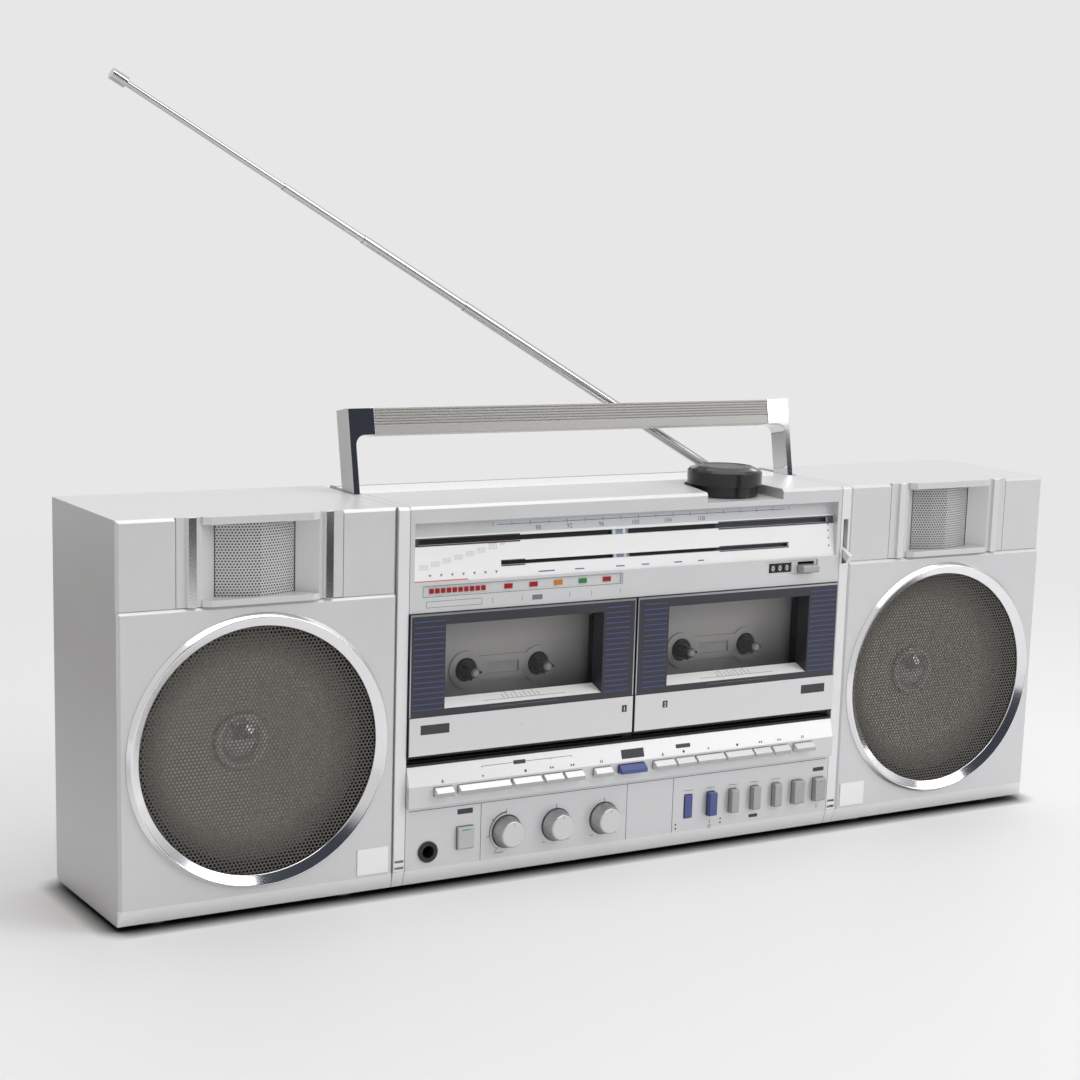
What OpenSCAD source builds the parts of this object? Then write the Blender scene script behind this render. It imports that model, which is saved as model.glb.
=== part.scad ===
// Portable twin-deck radio cassette recorder with two lift-off speaker boxes, in millimetres.
// X runs from left to right as seen from the front, the front faces -Y, Z is up and the floor is z = 0.

/* [Cabinet] */
// Depth of the cabinet from the front face to the back
depth = 88; // [84:1:110]
// Thickness of a moulded wall
wall = 2.5; // [2:0.1:3]
// Width of the strip on each side of the front panel
rail_w = 6; // [5.8:0.1:8]
// Height of the feet
foot_h = 2.5; // [1.5:0.1:6]
// Radius of a foot
foot_r = 6; // [4:0.5:8]
// Chamfer along the outer edges
edge = 1.5; // [0.5:0.1:2]
// Height of the bevel along the bottom of the front and the back
bevel_h = 8; // [4:0.5:9]
// How far that bevel draws in
bevel_in = 2.5; // [1:0.1:3]
// Distance from the front face to the joint line across the top
joint_d = 52; // [50:0.5:56]

/* [Fits] */
// Gap at the joint lines between fixed mouldings
seam = 0.3; // [0.2:0.05:0.5]
// Clearance around a piece that moves
slack = 0.3; // [0.3:0.05:0.4]
// Radial running fit of a shaft or pin in its bore
fit = 0.05; // [0.03:0.01:0.1]

/* [Front bands from the bottom up] */
// Height of the lower control field
base_h = 40.3; // [38:0.1:50]
// Height of the upright face of the key ledge
ledge_face_h = 10.8; // [10:0.1:14]
// Height of the slope above that face
ledge_slope_h = 9.6; // [6:0.1:14]
// How far the key ledge stands out
ledge_out = 3; // [2:0.1:5]
// Height of the sill under the cassette doors
sill_h = 4.1; // [3.8:0.1:8]
// Height of a cassette door
door_h = 72.5; // [70:0.5:85]
// Height of the lamp and counter strip
bezel_h = 15.2; // [12:0.1:20]
// Height of the dial opening
dial_h = 29.2; // [26:0.1:40]
// Height of the cap above the dial
cap_h = 8.3; // [8:0.1:14]

/* [Cassette doors and decks] */
// Width of a cassette door
door_w = 131; // [125:0.5:150]
// Gap between the two doors
door_gap = 1; // [0.8:0.1:2]
// Thickness of a door plate
door_t = 4; // [3.5:0.1:4.5]
// How far a door stands proud of the front
door_proud = 1; // [0.5:0.1:1.5]
// Width of a door's window
window_w = 91.6; // [70:0.1:96]
// Height of a door's window
window_h = 42.3; // [30:0.1:43]
// Height of the window above the foot of the door
window_rise = 24.3; // [22:0.1:26]
// How far the ledge in the window rises from the front to the pane
ledge_rise = 3.4; // [2:0.1:5]
// Depth of the smoked pane behind the front face
pane_d = 8.5; // [7:0.1:10]
// Thickness of the smoked pane
pane_t = 1.5; // [1:0.1:2]
// Radius of a door's hinge pins
hinge_r = 1.25; // [1:0.05:1.4]
// Width of the cassette pocket in a door
pocket_w = 102; // [100:0.5:106]
// Depth of the cassette pocket from the pane to the reel rings
pocket_d = 12; // [11.8:0.1:14]
// Distance between the reel spindles of a deck
reel_pitch = 42.5; // [40:0.1:45]
// Height of the reel spindles above the foot of the door
reel_rise = 37.4; // [34:0.1:42]
// Radius of a reel spindle's shaft
spindle_r = 2; // [1.5:0.1:2.5]
// How far a reel spindle stands out of its deck plate
spindle_out = 11.5; // [8:0.1:12]

/* [Dial and lamps] */
// How far the dial plate leans back from its foot to its top
dial_lean = 4.5; // [2:0.1:6]
// Thickness of the dial plate, measured front to back
dial_t = 1.6; // [1.2:0.1:2]
// Height of the upper pointer slot
slot_upper_h = 2.7; // [2:0.1:4]
// Height of the lower pointer slot
slot_lower_h = 2; // [1.5:0.1:3]
// Width of the dial pointer
pointer_w = 9.9; // [4:0.1:14]
// Pointer's place on the dial
pointer_x = -7.9; // [-12:0.1:-4]
// Depth of the lamp window's recess
lamp_recess = 0.8; // [0.6:0.1:1.2]
// Thickness of a lamp lens
lamp_t = 0.5; // [0.3:0.1:0.6]

/* [Controls] */
// How far a transport key stands out of the ledge
key_out = 4; // [3.5:0.1:6]
// Height of a transport key
key_h = 4.2; // [3.6:0.1:4.8]
// Height of the controls above the body's underside
control_rise = 21.5; // [18:0.1:26]
// Height of a push switch cap
switch_h = 12.8; // [9:0.1:15]
// How far a push switch cap stands out
switch_out = 3.5; // [3.2:0.1:5]
// Travel of a push switch
switch_travel = 2.7; // [1.5:0.1:3]
// Radius of a rotary knob at the panel
dial_knob_r = 8.1; // [6:0.1:10]
// Radius of a rotary knob's face
dial_knob_face_r = 6.7; // [4:0.1:7.5]
// How far a rotary knob stands out
dial_knob_out = 7.5; // [5:0.1:8]
// Radius of a rotary knob's shaft
shaft_r = 3; // [2:0.1:4]
// Radius of the headphone socket's bore
jack_r = 3.2; // [1.75:0.05:3.3]
// Depth of the headphone socket
jack_depth = 22; // [16:0.5:26]

/* [Tuning knob] */
// Distance of the tuning knob's axis from the right end of the front panel
tuner_in = 61.1; // [50:0.1:90]
// Distance of the tuning knob's axis behind the front
tuner_d = 25.8; // [24:0.1:27]
// Radius of the knob's wide upper tier
tuner_r = 20.1; // [19:0.1:22]
// Height of the upper tier
tuner_h = 8.3; // [5:0.1:12]
// Radius of the knob's lower tier
tuner_low_r = 18.1; // [15:0.1:18.5]
// Depth of the notch that the knob sits in
notch_d = 5.3; // [4:0.1:6]
// Gap between the lower tier and the notch
notch_gap = 3.5; // [2:0.1:4]
// Width of the notch at the front edge
notch_mouth = 49.5; // [44:0.5:56]

/* [Handle] */
// Height of the handle above the top of the cabinet
handle_rise = 41.7; // [38:0.1:60]
// Lean of the handle behind upright, in degrees
handle_lean = 11; // [8:0.5:13]
// Depth of the handle's arms and grip
arm_d = 13; // [11:0.1:13.2]
// Thickness of a handle arm
arm_t = 3.5; // [3:0.1:4]
// Height of the grip
grip_h = 13.6; // [10:0.1:16]
// Length of the plated corner beside the grip
corner_w = 14.5; // [11:0.1:20]
// Radius of the fillet under that corner
corner_r = 5; // [3:0.1:6]
// Depth of the handle pivot below the top
pivot_drop = 12; // [10:0.1:14]
// Radius of the handle's pivot pins
pin_r = 2.5; // [2:0.1:2.8]

/* [Aerial] */
// Tilt of the aerial above level, in degrees
aerial_tilt = 29.26; // [20:0.01:60]
// Diameter of the aerial's base tube
aerial_dia = 5.6; // [5.2:0.1:6]
// Step in diameter from one tube to the next
aerial_step = 0.8; // [0.7:0.05:0.9]
// Length of the base tube from the pivot
tube_1 = 197.2; // [195:0.1:220]
// Length of the second tube
tube_2 = 185; // [150:0.5:186]
// Length of the third tube
tube_3 = 180; // [140:0.5:182]
// Length of the tip rod
tube_4 = 172; // [130:0.5:175]
// Length of the second tube that is drawn out
drawn_2 = 67.7; // [40:0.1:120]
// Length of the third tube that is drawn out
drawn_3 = 50.3; // [40:0.1:120]
// Length of the tip rod that is drawn out
drawn_4 = 92.3; // [40:0.1:120]

/* [Speakers] */
// Outer radius of the woofer's trim ring
ring_r = 67; // [60:0.5:70]
// Width of the trim ring
ring_w = 6.8; // [6:0.1:10]
// Plain margin between the trim ring and the box's edges
ring_margin = 3.5; // [2.5:0.1:8]
// Height of the trim ring above the box's underside
ring_foot = 10.2; // [9:0.1:14]
// How far the trim ring stands out of the baffle
ring_out = 2.5; // [1.5:0.1:4]
// Thickness of the speaker's front
baffle_t = 3; // [2.5:0.1:4]
// How far the upper front steps back from the lower
baffle_step = 1; // [0.5:0.1:1.5]
// Width of the tweeter module
tweeter_w = 84.3; // [80:0.1:100]
// Width of the tweeter's lips and mouth
lip_w = 59; // [50:0.1:62]
// Width of the tweeter's perforated grille
tweeter_mesh_w = 39.4; // [30:0.1:46]
// Length of the rail that a speaker hangs on
rail_len = 70; // [50:1:90]

/* [Hidden] */
$fn = 64;
// How far a cut runs past the face that it opens
over = 1;

// Heights of the front bands
z0 = foot_h;
ledge_z = z0 + base_h;
ledge_edge_z = ledge_z + ledge_face_h;
ledge_top_z = ledge_edge_z + ledge_slope_h;
door_z = ledge_top_z + sill_h;
door_top = door_z + door_h;
dial_z = door_top + bezel_h;
dial_top = dial_z + dial_h;
zt = dial_top + cap_h;
control_z = z0 + control_rise;

// Depths and widths of the centre unit
yf = -depth / 2;
yb = depth / 2;
joint_y = yf + joint_d;
panel_x = door_w + door_gap;
front_x = panel_x - seam;
rail_x = panel_x + rail_w;
deck_x = (door_w + door_gap) / 2;

// Places and widths along the front are drawn for this half width and spread with the panel
drawn_x = 132;
function place(x) = x * panel_x / drawn_x;

// Door recess, wells and hinges
sill_drop = 2.8;
door_back = yf + door_t - door_proud;
recess_y = door_back + over;
pane_y = yf + pane_d;
relief = 1;
deck_y = pane_y + pane_t + pocket_d + relief;
deck_t = 2;
well_in = 3;
well_out = front_x - 3.2;
well_drop = 2.2;
ear_r = hinge_r + 0.95;
hinge_y = recess_y + ear_r;
hinge_z = door_z + 0.5;
hinge_l = 2.4;
reel_z = door_z + reel_rise;
tunnel_t = 2;

// Hub holes and the raised shape that joins them on a deck plate
hub_r = 6.2;
hub_ring_r = 9.5;
hub_bar_h = 12.8;
hub_window = [19.1, 5.9];

// Dial
dial_lip = wall - seam;
dial_x = front_x - wall;
dial_foot_y = yf + 1;
dial_frame_d = 1 + dial_lean + dial_t + 3;
slot_end = 4;
slot_upper_z = dial_z + 17.8;
slot_lower_z = dial_z + 6;
lamp_z = dial_z - 4.4;
lamp_h = 4.7;
lamp_x = [place(-123.7), place(-9.7)];
level_x = [for (i = [0:9]) place(-119.4 + 3.22 * i)];
level_size = [place(2.2), 2.4];
single_x = [for (i = [0:4]) place(-76.2 + 14.5 * i)];
single_size = [place(4.5), 2.4];
counter_x = place(92.4);
counter_z = dial_z - 5.2;
counter_size = [place(15.2), 5.2];
counter_field = [place(35.2), 7.6];
field_x = place(99.4);
field_d = 0.8;
reset_x = place(109.6);
reset_z = counter_z - 0.9;
reset_size = [place(10.7), 3.7];
reset_out = 4.5;
reset_play = 1.4;

// Length of the stem that a key, switch or button has behind the front wall
stem_l = 5;

// Transport keys: name, place along the ledge, width and colour
key_foot_z = ledge_z + 5.4;
KEYS = [
    ["eject_key_1", -112.8, 9.7, "silver"],
    ["play_key_1", -89.8, 29, "silver"],
    ["stop_key_1", -65.1, 16.4, "silver"],
    ["rewind_key_1", -49.6, 10.8, "silver"],
    ["forward_key_1", -37.2, 10.8, "silver"],
    ["pause_key_1", -19.6, 10.1, "silver"],
    ["dubbing_key", -1.4, 15.7, "slateblue"],
    ["eject_key_2", 18.6, 12.5, "silver"],
    ["record_key_2", 32, 11.4, "silver"],
    ["play_key_2", 48, 17.6, "silver"],
    ["stop_key_2", 66.9, 17.2, "silver"],
    ["rewind_key_2", 82.4, 11, "silver"],
    ["forward_key_2", 95, 10.8, "silver"],
    ["pause_key_2", 110.9, 12.6, "silver"],
];

// Push switches: name, place, width, how far each is pressed in and colour
SWITCHES = [
    ["dubbing_speed_switch", 38, 4.6, switch_travel, "slateblue"],
    ["dubbing_switch", 52.5, 4.6, 0, "slateblue"],
    ["record_mute_switch", 67, 4.6, 0, "silver"],
    ["tape_switch", 81.5, 4.6, 0, "silver"],
    ["fm_mode_switch", 96, 4.6, 0, "silver"],
    ["function_switch", 110.5, 6.8, 0, "silver"],
    ["power_switch", 125, 6.8, 0, "silver"],
];

// Rotary knobs: name and place
ROTARIES = [["volume_knob", -73.8], ["balance_knob", -44.4], ["tone_knob", -15.4]];

// Reel spindles: name, deck side and which reel
SPINDLES = [
    ["supply_spindle_1", -1, -1],
    ["takeup_spindle_1", -1, 1],
    ["supply_spindle_2", 1, -1],
    ["takeup_spindle_2", 1, 1],
];

// Set button and headphone socket
memory_x = place(-98.2);
memory_size = [place(9), 11.4];
memory_out = 2;
jack_x = place(-119.1);
jack_z = control_z - 5;
jack_rim = 2.2;
jack_wall = 1.4;

// Tuning knob and its notch
tuner_x = panel_x - tuner_in;
tuner_y = yf + tuner_d;
notch_r = tuner_low_r + notch_gap;
notch_z = zt - notch_d;
notch_mid = tuner_x - 4.1;

// Band lever in the right strip
lever_x = [panel_x + 1.8, panel_x + 4.4];
lever_y = yf + 13;
lever_r = 10.5;
lever_reach = 20;
lever_w = 4;
lever_drop = 27;
lever_pin_r = 1.5;
lever_slot_h = 24.4;
lever_z = dial_z + 7.2;

// Handle, modelled upright about its pivot and then leaned back
arm_x = [panel_x + 1.3, panel_x + 1.3 + arm_t];
pivot_z = zt - pivot_drop;
boss_r = pin_r + 1.7;
pivot_y = joint_y + boss_r + seam / 3;
boss_l = 6;
arm_len = (handle_rise + pivot_drop) / cos(handle_lean) - arm_d / 2 * tan(handle_lean) + 0.2;
grip_d = arm_d - 0.6;
groove_count = 6;

// Aerial, its rabbet along the back edge and its turret
aerial_y = yb - 2.5;
aerial_x = panel_x - 18;
rabbet_y = aerial_y - aerial_dia / 2 - 0.5;
rabbet_z = zt - aerial_dia - 2.7;
aerial_z = rabbet_z + aerial_dia / 2 + 0.5;
post_r = 2.5;
post_h = 8;
turret_r = 5;
turret_h = post_h + 2;
swing_r = turret_r + slack;
tongue_t = 3;
tongue_r = aerial_dia / 2 - 0.2;
cradle_z = aerial_z - tongue_r - slack;
plug_l = 9;
cheek_t = 1.5;
aerial_pin_r = 1;
tip_l = 8;
tip_r = 2.9;
end_1 = tube_1;
end_2 = end_1 + drawn_2;
end_3 = end_2 + drawn_3;
end_4 = end_3 + drawn_4;

// Speaker boxes
speaker_w = 2 * (ring_r + ring_margin);
speaker_x = rail_x + seam;
speaker_mid = speaker_x + speaker_w / 2;
ring_z = z0 + ring_foot + ring_r;
mesh_r = ring_r - ring_w;
spigot_r = mesh_r + 0.2 * ring_w;
split_z = ring_z + ring_r + ring_margin;
hang_y = 15;
hang_z = z0 + 27.5;
neck = [4, 6];
head = [2.5, 12];
hang_block = [10, 20];
lip_h = 3;
roof_t = 0.8;
driver_d = 0.61 * depth;
tweeter_d = 16;
bar_x = 34.4;
bar_w = 4.2;

// Circuit board and mains inlet
board_y = joint_y + 12;
board_t = 1.6;
part_d = 24;
board_x = panel_x - 22;
board_z = [z0 + 9.5, door_top + 8];
board_post_r = 4;
inlet_x = -panel_x + 32;
inlet_z = z0 + 22;
inlet_size = [22, 14];
inlet_d = 12;

// Box between two limits on each axis
module block(x, y, z) {
    translate([x[0], y[0], z[0]])
        cube([x[1] - x[0], y[1] - y[0], z[1] - z[0]]);
}

// Limits of a stretch of given length about its middle
function about(mid, length) = [mid - length / 2, mid + length / 2];

// Extrusions along each axis: the outline is drawn in (y, z), (x, z) or (x, y)
module along_x(x) {
    translate([x[0], 0, 0])
        rotate([90, 0, 90])
            linear_extrude(x[1] - x[0])
                children();
}

module along_y(y) {
    translate([0, y[1], 0])
        rotate([90, 0, 0])
            linear_extrude(y[1] - y[0])
                children();
}

module along_z(z) {
    translate([0, 0, z[0]])
        linear_extrude(z[1] - z[0])
            children();
}

// Round bars along each axis
module rod_x(r, x, y, z) {
    translate([x[0], y, z])
        rotate([0, 90, 0])
            cylinder(r = r, h = x[1] - x[0]);
}

module rod_y(r, x, y, z) {
    translate([x, y[0], z])
        rotate([-90, 0, 0])
            cylinder(r = r, h = y[1] - y[0]);
}

module rod_z(r, x, y, z) {
    translate([x, y, z[0]])
        cylinder(r = r, h = z[1] - z[0]);
}

// Turned shape about an axis along Y: the outline is drawn in (radius, depth behind y)
module turned_y(x, y, z) {
    translate([x, y, z])
        rotate([-90, 0, 0])
            rotate_extrude()
                children();
}

module both_sides() {
    children();
    mirror([1, 0, 0])
        children();
}

module side_of(s) {
    mirror([s < 0 ? 1 : 0, 0, 0])
        children();
}

// Outline of the cabinet and the speaker boxes seen from the side
function side_outline(front) = [
    [front + bevel_in, z0],
    [front, z0 + bevel_h],
    [front, zt - edge],
    [front + edge, zt],
    [yb - edge, zt],
    [yb, zt - edge],
    [yb, z0 + bevel_h],
    [yb - bevel_in, z0],
];

// Outline of the front panel seen from the side, with its key ledge
function front_outline() = [
    [joint_y, z0],
    [yf + bevel_in, z0],
    [yf, z0 + bevel_h],
    [yf, ledge_z],
    [yf - ledge_out, ledge_z],
    [yf - ledge_out, ledge_edge_z],
    [yf, ledge_top_z],
    [yf, zt - edge],
    [yf + edge, zt],
    [joint_y, zt],
];

// Outline of the tuning knob's notch seen from above, grown outwards for its pan
module notch_outline(grow, front) {
    translate([tuner_x, tuner_y])
        circle(r = notch_r + grow);
    polygon([
        [notch_mid - notch_mouth / 2 - grow, front],
        [notch_mid + notch_mouth / 2 + grow, front],
        [tuner_x + notch_r + grow, tuner_y],
        [tuner_x - notch_r - grow, tuner_y],
    ]);
}

// Opening for a piece that moves through the front wall
module front_hole(x, z, size, front) {
    block(
        about(x, size[0] + 2 * slack),
        [front - over, yf + wall + stem_l + 3],
        about(z, size[1] + 2 * slack)
    );
}

module foot(x, y) {
    rod_z(foot_r, x, y, [0, z0 + over]);
}

module front_shell() {
    difference() {
        along_x([-front_x, front_x])
            polygon(front_outline());
        block([-front_x + wall, front_x - wall], [yf + wall, joint_y + over], [z0 + wall, zt - wall]);
    }
    // Solid round the two cassette wells
    block(
        [-front_x + wall / 2, front_x - wall / 2],
        [yf + wall / 2, deck_y],
        [door_z - sill_drop - wall, door_top + wall]
    );
    // Frame round the dial
    block(
        [-dial_x - dial_lip, dial_x + dial_lip],
        [yf + wall / 2, yf + dial_frame_d],
        [dial_z - dial_lip, dial_top + dial_lip]
    );
    // Pan under the tuning knob
    along_z([notch_z - wall, zt - wall / 2])
        notch_outline(wall, yf + wall / 2);
    both_sides()
        foot(front_x - 20, yf + 20);
}

module front_panel() {
    color("silver")
        difference() {
            front_shell();
            // Shallow recess for the doors, then a well and hinge bores behind each
            block([-panel_x, panel_x], [yf - over, recess_y], [door_z - sill_drop, door_top + slack]);
            both_sides() {
                block(
                    [well_in, well_out],
                    [recess_y - over, deck_y + over],
                    [door_z - well_drop, door_top - 0.8]
                );
                rod_x(
                    hinge_r + fit,
                    [well_in - hinge_l - slack, well_out + hinge_l + slack],
                    hinge_y,
                    hinge_z
                );
            }
            // Dial opening, lamp window and counter window
            block([-dial_x, dial_x], [yf - over, yf + dial_frame_d + over], [dial_z, dial_top]);
            block(lamp_x, [yf - over, yf + lamp_recess], about(lamp_z, lamp_h));
            block(
                about(field_x, counter_field[0]),
                [yf - over, yf + field_d],
                about(counter_z, counter_field[1])
            );
            block(about(counter_x, counter_size[0]), [yf - over, yf + 2], about(counter_z, counter_size[1]));
            front_hole(reset_x, reset_z + reset_play / 2, [reset_size[0], reset_size[1] + reset_play], yf);
            // Tuning knob's notch and shaft bore
            along_z([notch_z, zt + over])
                notch_outline(0, yf - over);
            rod_z(shaft_r + fit, tuner_x, tuner_y, [notch_z - wall - over, notch_z + over]);
            // Keys, switches, knobs, set button and headphone socket
            for (k = KEYS)
                front_hole(place(k[1]), key_foot_z + key_h / 2, [place(k[2]), key_h], yf - ledge_out);
            for (s = SWITCHES)
                front_hole(place(s[1]), control_z, [place(s[2]), switch_h], yf);
            for (r = ROTARIES)
                rod_y(shaft_r + fit, place(r[1]), [yf - over, yf + wall + over], control_z);
            front_hole(memory_x, control_z, memory_size, yf);
            rod_y(jack_r + jack_wall + fit, jack_x, [yf - over, yf + wall + over], jack_z);
        }
}

module cabinet_shell() {
    difference() {
        along_x([-rail_x, rail_x])
            polygon(side_outline(yf));
        block([-panel_x, panel_x], [yf - over, joint_y], [z0 - over, zt + over]);
        block([-panel_x, panel_x], [joint_y - over, yb - wall], [z0 + wall, zt - wall]);
    }
    // Walls of the aerial's rabbet and its turret
    block([-panel_x, panel_x], [rabbet_y - wall, yb - wall / 2], [rabbet_z - wall, zt - wall / 2]);
    rod_z(turret_r, aerial_x, aerial_y, [rabbet_z - turret_h, rabbet_z]);
    intersection() {
        rod_z(swing_r + wall, aerial_x, aerial_y, [rabbet_z - wall, zt - wall / 2]);
        block([-panel_x, panel_x], [joint_y, yb - wall / 2], [z0, zt]);
    }
    // Bosses for the handle's pins, rails for the speakers and feet
    both_sides() {
        rod_x(boss_r, [panel_x - boss_l, panel_x + over], pivot_y, pivot_z);
        block([rail_x - over, rail_x + neck[0]], about(hang_y, neck[1]), [hang_z, hang_z + rail_len]);
        block(
            [rail_x + neck[0], rail_x + neck[0] + head[0]],
            about(hang_y, head[1]),
            [hang_z, hang_z + rail_len]
        );
        foot(panel_x - 20, yb - 14);
    }
    // Posts that carry the circuit board
    for (x = [-1, 1], z = board_z)
        rod_y(
            board_post_r,
            x * (board_x - 8),
            [board_y + board_t, yb - wall / 2],
            z == board_z[0] ? z + 8 : z - 8
        );
    // Well of the mains inlet
    block(
        about(inlet_x, inlet_size[0] + 2 * wall),
        [yb - inlet_d - wall, yb - wall / 2],
        about(inlet_z, inlet_size[1] + 2 * wall)
    );
}

module main_cabinet() {
    color("gainsboro")
        difference() {
            cabinet_shell();
            block([-panel_x, panel_x], [rabbet_y, yb + over], [rabbet_z, zt + over]);
            rod_z(swing_r, aerial_x, aerial_y, [rabbet_z, zt + over]);
            rod_z(post_r + fit, aerial_x, aerial_y, [rabbet_z - post_h - slack, rabbet_z + over]);
            // Slots for the handle's arms, with the pivot bores, and two slits low on each strip
            both_sides() {
                block(
                    [arm_x[0] - slack, rail_x + over],
                    [pivot_y - arm_d / 2 - 2 * slack, yb + over],
                    [pivot_z - arm_d / 2 - 2 * slack, zt + over]
                );
                rod_x(pin_r + fit, [panel_x - boss_l - over, arm_x[0]], pivot_y, pivot_z);
                for (z = [12.5, 15.8])
                    block([panel_x + 0.6, rail_x - 0.6], [yf - over, yf + 2], about(z0 - 2.5 + z, 1.3));
            }
            // Slot and pivot bore of the band lever
            block(
                [lever_x[0] - slack, lever_x[1] + slack],
                [yf - over, lever_y + lever_r + slack],
                about(lever_z, lever_slot_h)
            );
            rod_x(lever_pin_r + fit, [panel_x + 0.4, rail_x - 0.4], lever_y, lever_z);
            // Mains inlet
            block(about(inlet_x, inlet_size[0]), [yb - inlet_d, yb + over], about(inlet_z, inlet_size[1]));
        }
}

// Front of the leaning dial plate at a given height
function dial_y(z) = dial_foot_y + (z - dial_z) * dial_lean / dial_h;

// Slice that leans with the dial, from a given depth behind its front
module dial_slice(x, z, back, t) {
    along_x(x)
        polygon([
            [dial_y(z[0]) + back, z[0]],
            [dial_y(z[0]) + back + t, z[0]],
            [dial_y(z[1]) + back + t, z[1]],
            [dial_y(z[1]) + back, z[1]],
        ]);
}

module dial_scale() {
    color("white")
        difference() {
            dial_slice([-dial_x, dial_x], [dial_z, dial_top], 0, dial_t);
            block(
                [-dial_x + slot_end, dial_x - slot_end],
                [yf, yf + dial_frame_d],
                [slot_upper_z, slot_upper_z + slot_upper_h]
            );
            block(
                [place(-79.9), place(98.2)],
                [yf, yf + dial_frame_d],
                [slot_lower_z, slot_lower_z + slot_lower_h]
            );
        }
}

module dial_pointer() {
    color("lightsteelblue")
        dial_slice(
            about(place(pointer_x), pointer_w),
            [slot_lower_z - 3, slot_upper_z + slot_upper_h + 3],
            dial_t + slack,
            1.2
        );
}

// Ten level lamps and five single lamps, seated on the floor of the lamp window
module indicator_lamps() {
    floor_y = yf + lamp_recess;
    color("firebrick") {
        for (x = level_x)
            block(about(x, level_size[0]), [floor_y - lamp_t, floor_y], about(lamp_z, level_size[1]));
        for (x = single_x)
            block(about(x, single_size[0]), [floor_y - lamp_t, floor_y], about(lamp_z, single_size[1]));
    }
}

// One plate behind each well, with a raised ring round each hub hole and a bar between them
module deck_plates() {
    color("dimgray")
        both_sides()
            difference() {
                union() {
                    block(
                        [well_in - 2, front_x - wall],
                        [deck_y, deck_y + deck_t],
                        [door_z - well_drop - 2, door_top + 1.5]
                    );
                    for (s = [-1, 1])
                        rod_y(
                            hub_ring_r,
                            deck_x + s * reel_pitch / 2,
                            [deck_y - relief, deck_y + over],
                            reel_z
                        );
                    block(
                        about(deck_x, reel_pitch),
                        [deck_y - relief, deck_y + over],
                        about(reel_z, hub_bar_h)
                    );
                }
                block(
                    about(deck_x, hub_window[0]),
                    [deck_y - relief - over, deck_y],
                    about(reel_z, hub_window[1])
                );
                for (s = [-1, 1]) {
                    x = deck_x + s * reel_pitch / 2;
                    rod_y(hub_r, x, [deck_y - relief - over, deck_y], reel_z);
                    rod_y(spindle_r + fit, x, [deck_y - over, deck_y + deck_t + over], reel_z);
                }
            }
}

// Reel spindle: ribbed drive head and collar in front of the plate, reel pulley behind it
module spindle(side, reel) {
    x = side * deck_x + reel * reel_pitch / 2;
    color("whitesmoke")
        union() {
            turned_y(x, deck_y, reel_z)
                polygon([
                    [0, -spindle_out],
                    [1.6, -spindle_out],
                    [2.8, -spindle_out + 1.6],
                    [2.8, -2],
                    [5.5, -2],
                    [5.5, -slack],
                    [spindle_r, -slack],
                    [spindle_r, deck_t + slack],
                    [12, deck_t + slack],
                    [12, deck_t + slack + 3],
                    [0, deck_t + slack + 3],
                ]);
            for (a = [0, 120, 240])
                translate([x, deck_y, reel_z])
                    rotate([0, a, 0])
                        block([2, 4.2], [-spindle_out + 1.6, -1.5], [-0.6, 0.6]);
        }
}

// Main board with transformer, tuner can, heat sink and capacitors, laid out on a grid of tenths
module circuit_board() {
    u = board_x / 10;
    v = (board_z[1] - board_z[0]) / 10;
    low = board_z[0] + 0.3 * v;
    back = board_y + board_t / 2;
    color("darkgreen")
        union() {
            block([-board_x, board_x], [board_y, board_y + board_t], board_z);
            block(about(-6.9 * u, 4.5 * u), [board_y - 0.72 * part_d, back], [low, low + 3 * v]);
            block(about(-6.9 * u, 3 * u), [board_y - part_d, back], [low, low + 3 * v]);
            block(about(6.7 * u, 4.7 * u), [board_y - 0.35 * part_d, back], [low + 6.3 * v, low + 9 * v]);
            for (i = [0:6])
                block(
                    about((0.72 * i - 1.1) * u, 0.3 * u),
                    [board_y - 0.6 * part_d, back],
                    [low, low + 2 * v]
                );
            for (i = [0:2])
                rod_y(0.45 * u, (6.4 + 1.25 * i) * u, [board_y - 0.66 * part_d, back], low + v);
        }
}

module headphone_jack() {
    sleeve_r = jack_r + jack_wall;
    color("dimgray")
        turned_y(jack_x, yf, jack_z)
            polygon([
                [jack_r, -0.8],
                [jack_r + jack_rim, -0.8],
                [jack_r + jack_rim, 0],
                [sleeve_r, 0],
                [sleeve_r, jack_depth + 2],
                [0, jack_depth + 2],
                [0, jack_depth - 0.8],
                [jack_r, jack_depth - 0.8],
            ]);
}

// Two-tier tuning knob with its shaft through the floor of the notch
module tuning_knob() {
    low = notch_z + slack;
    mid = zt + 0.75;
    high = mid + tuner_h;
    color([0.12, 0.12, 0.13])
        translate([tuner_x, tuner_y, 0])
            rotate_extrude()
                polygon([
                    [0, notch_z - wall - 8],
                    [shaft_r, notch_z - wall - 8],
                    [shaft_r, low],
                    [tuner_low_r, low],
                    [tuner_low_r, mid],
                    [tuner_r, mid],
                    [tuner_r, high - 1.2],
                    [tuner_r - 1.2, high],
                    [tuner_r - 5, high + 1.2],
                    [0, high + 1.2],
                ]);
}

// Piece that travels through the front wall, with a chamfered tip and a shoulder-free stem
module push_piece(x, z, size, tip) {
    bevel = 0.6;
    along_x(about(x, size[0]))
        polygon([
            [tip, z - size[1] / 2 + bevel],
            [tip, z + size[1] / 2 - bevel],
            [tip + bevel, z + size[1] / 2],
            [yf + wall + stem_l, z + size[1] / 2],
            [yf + wall + stem_l, z - size[1] / 2],
            [tip + bevel, z - size[1] / 2],
        ]);
}

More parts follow.
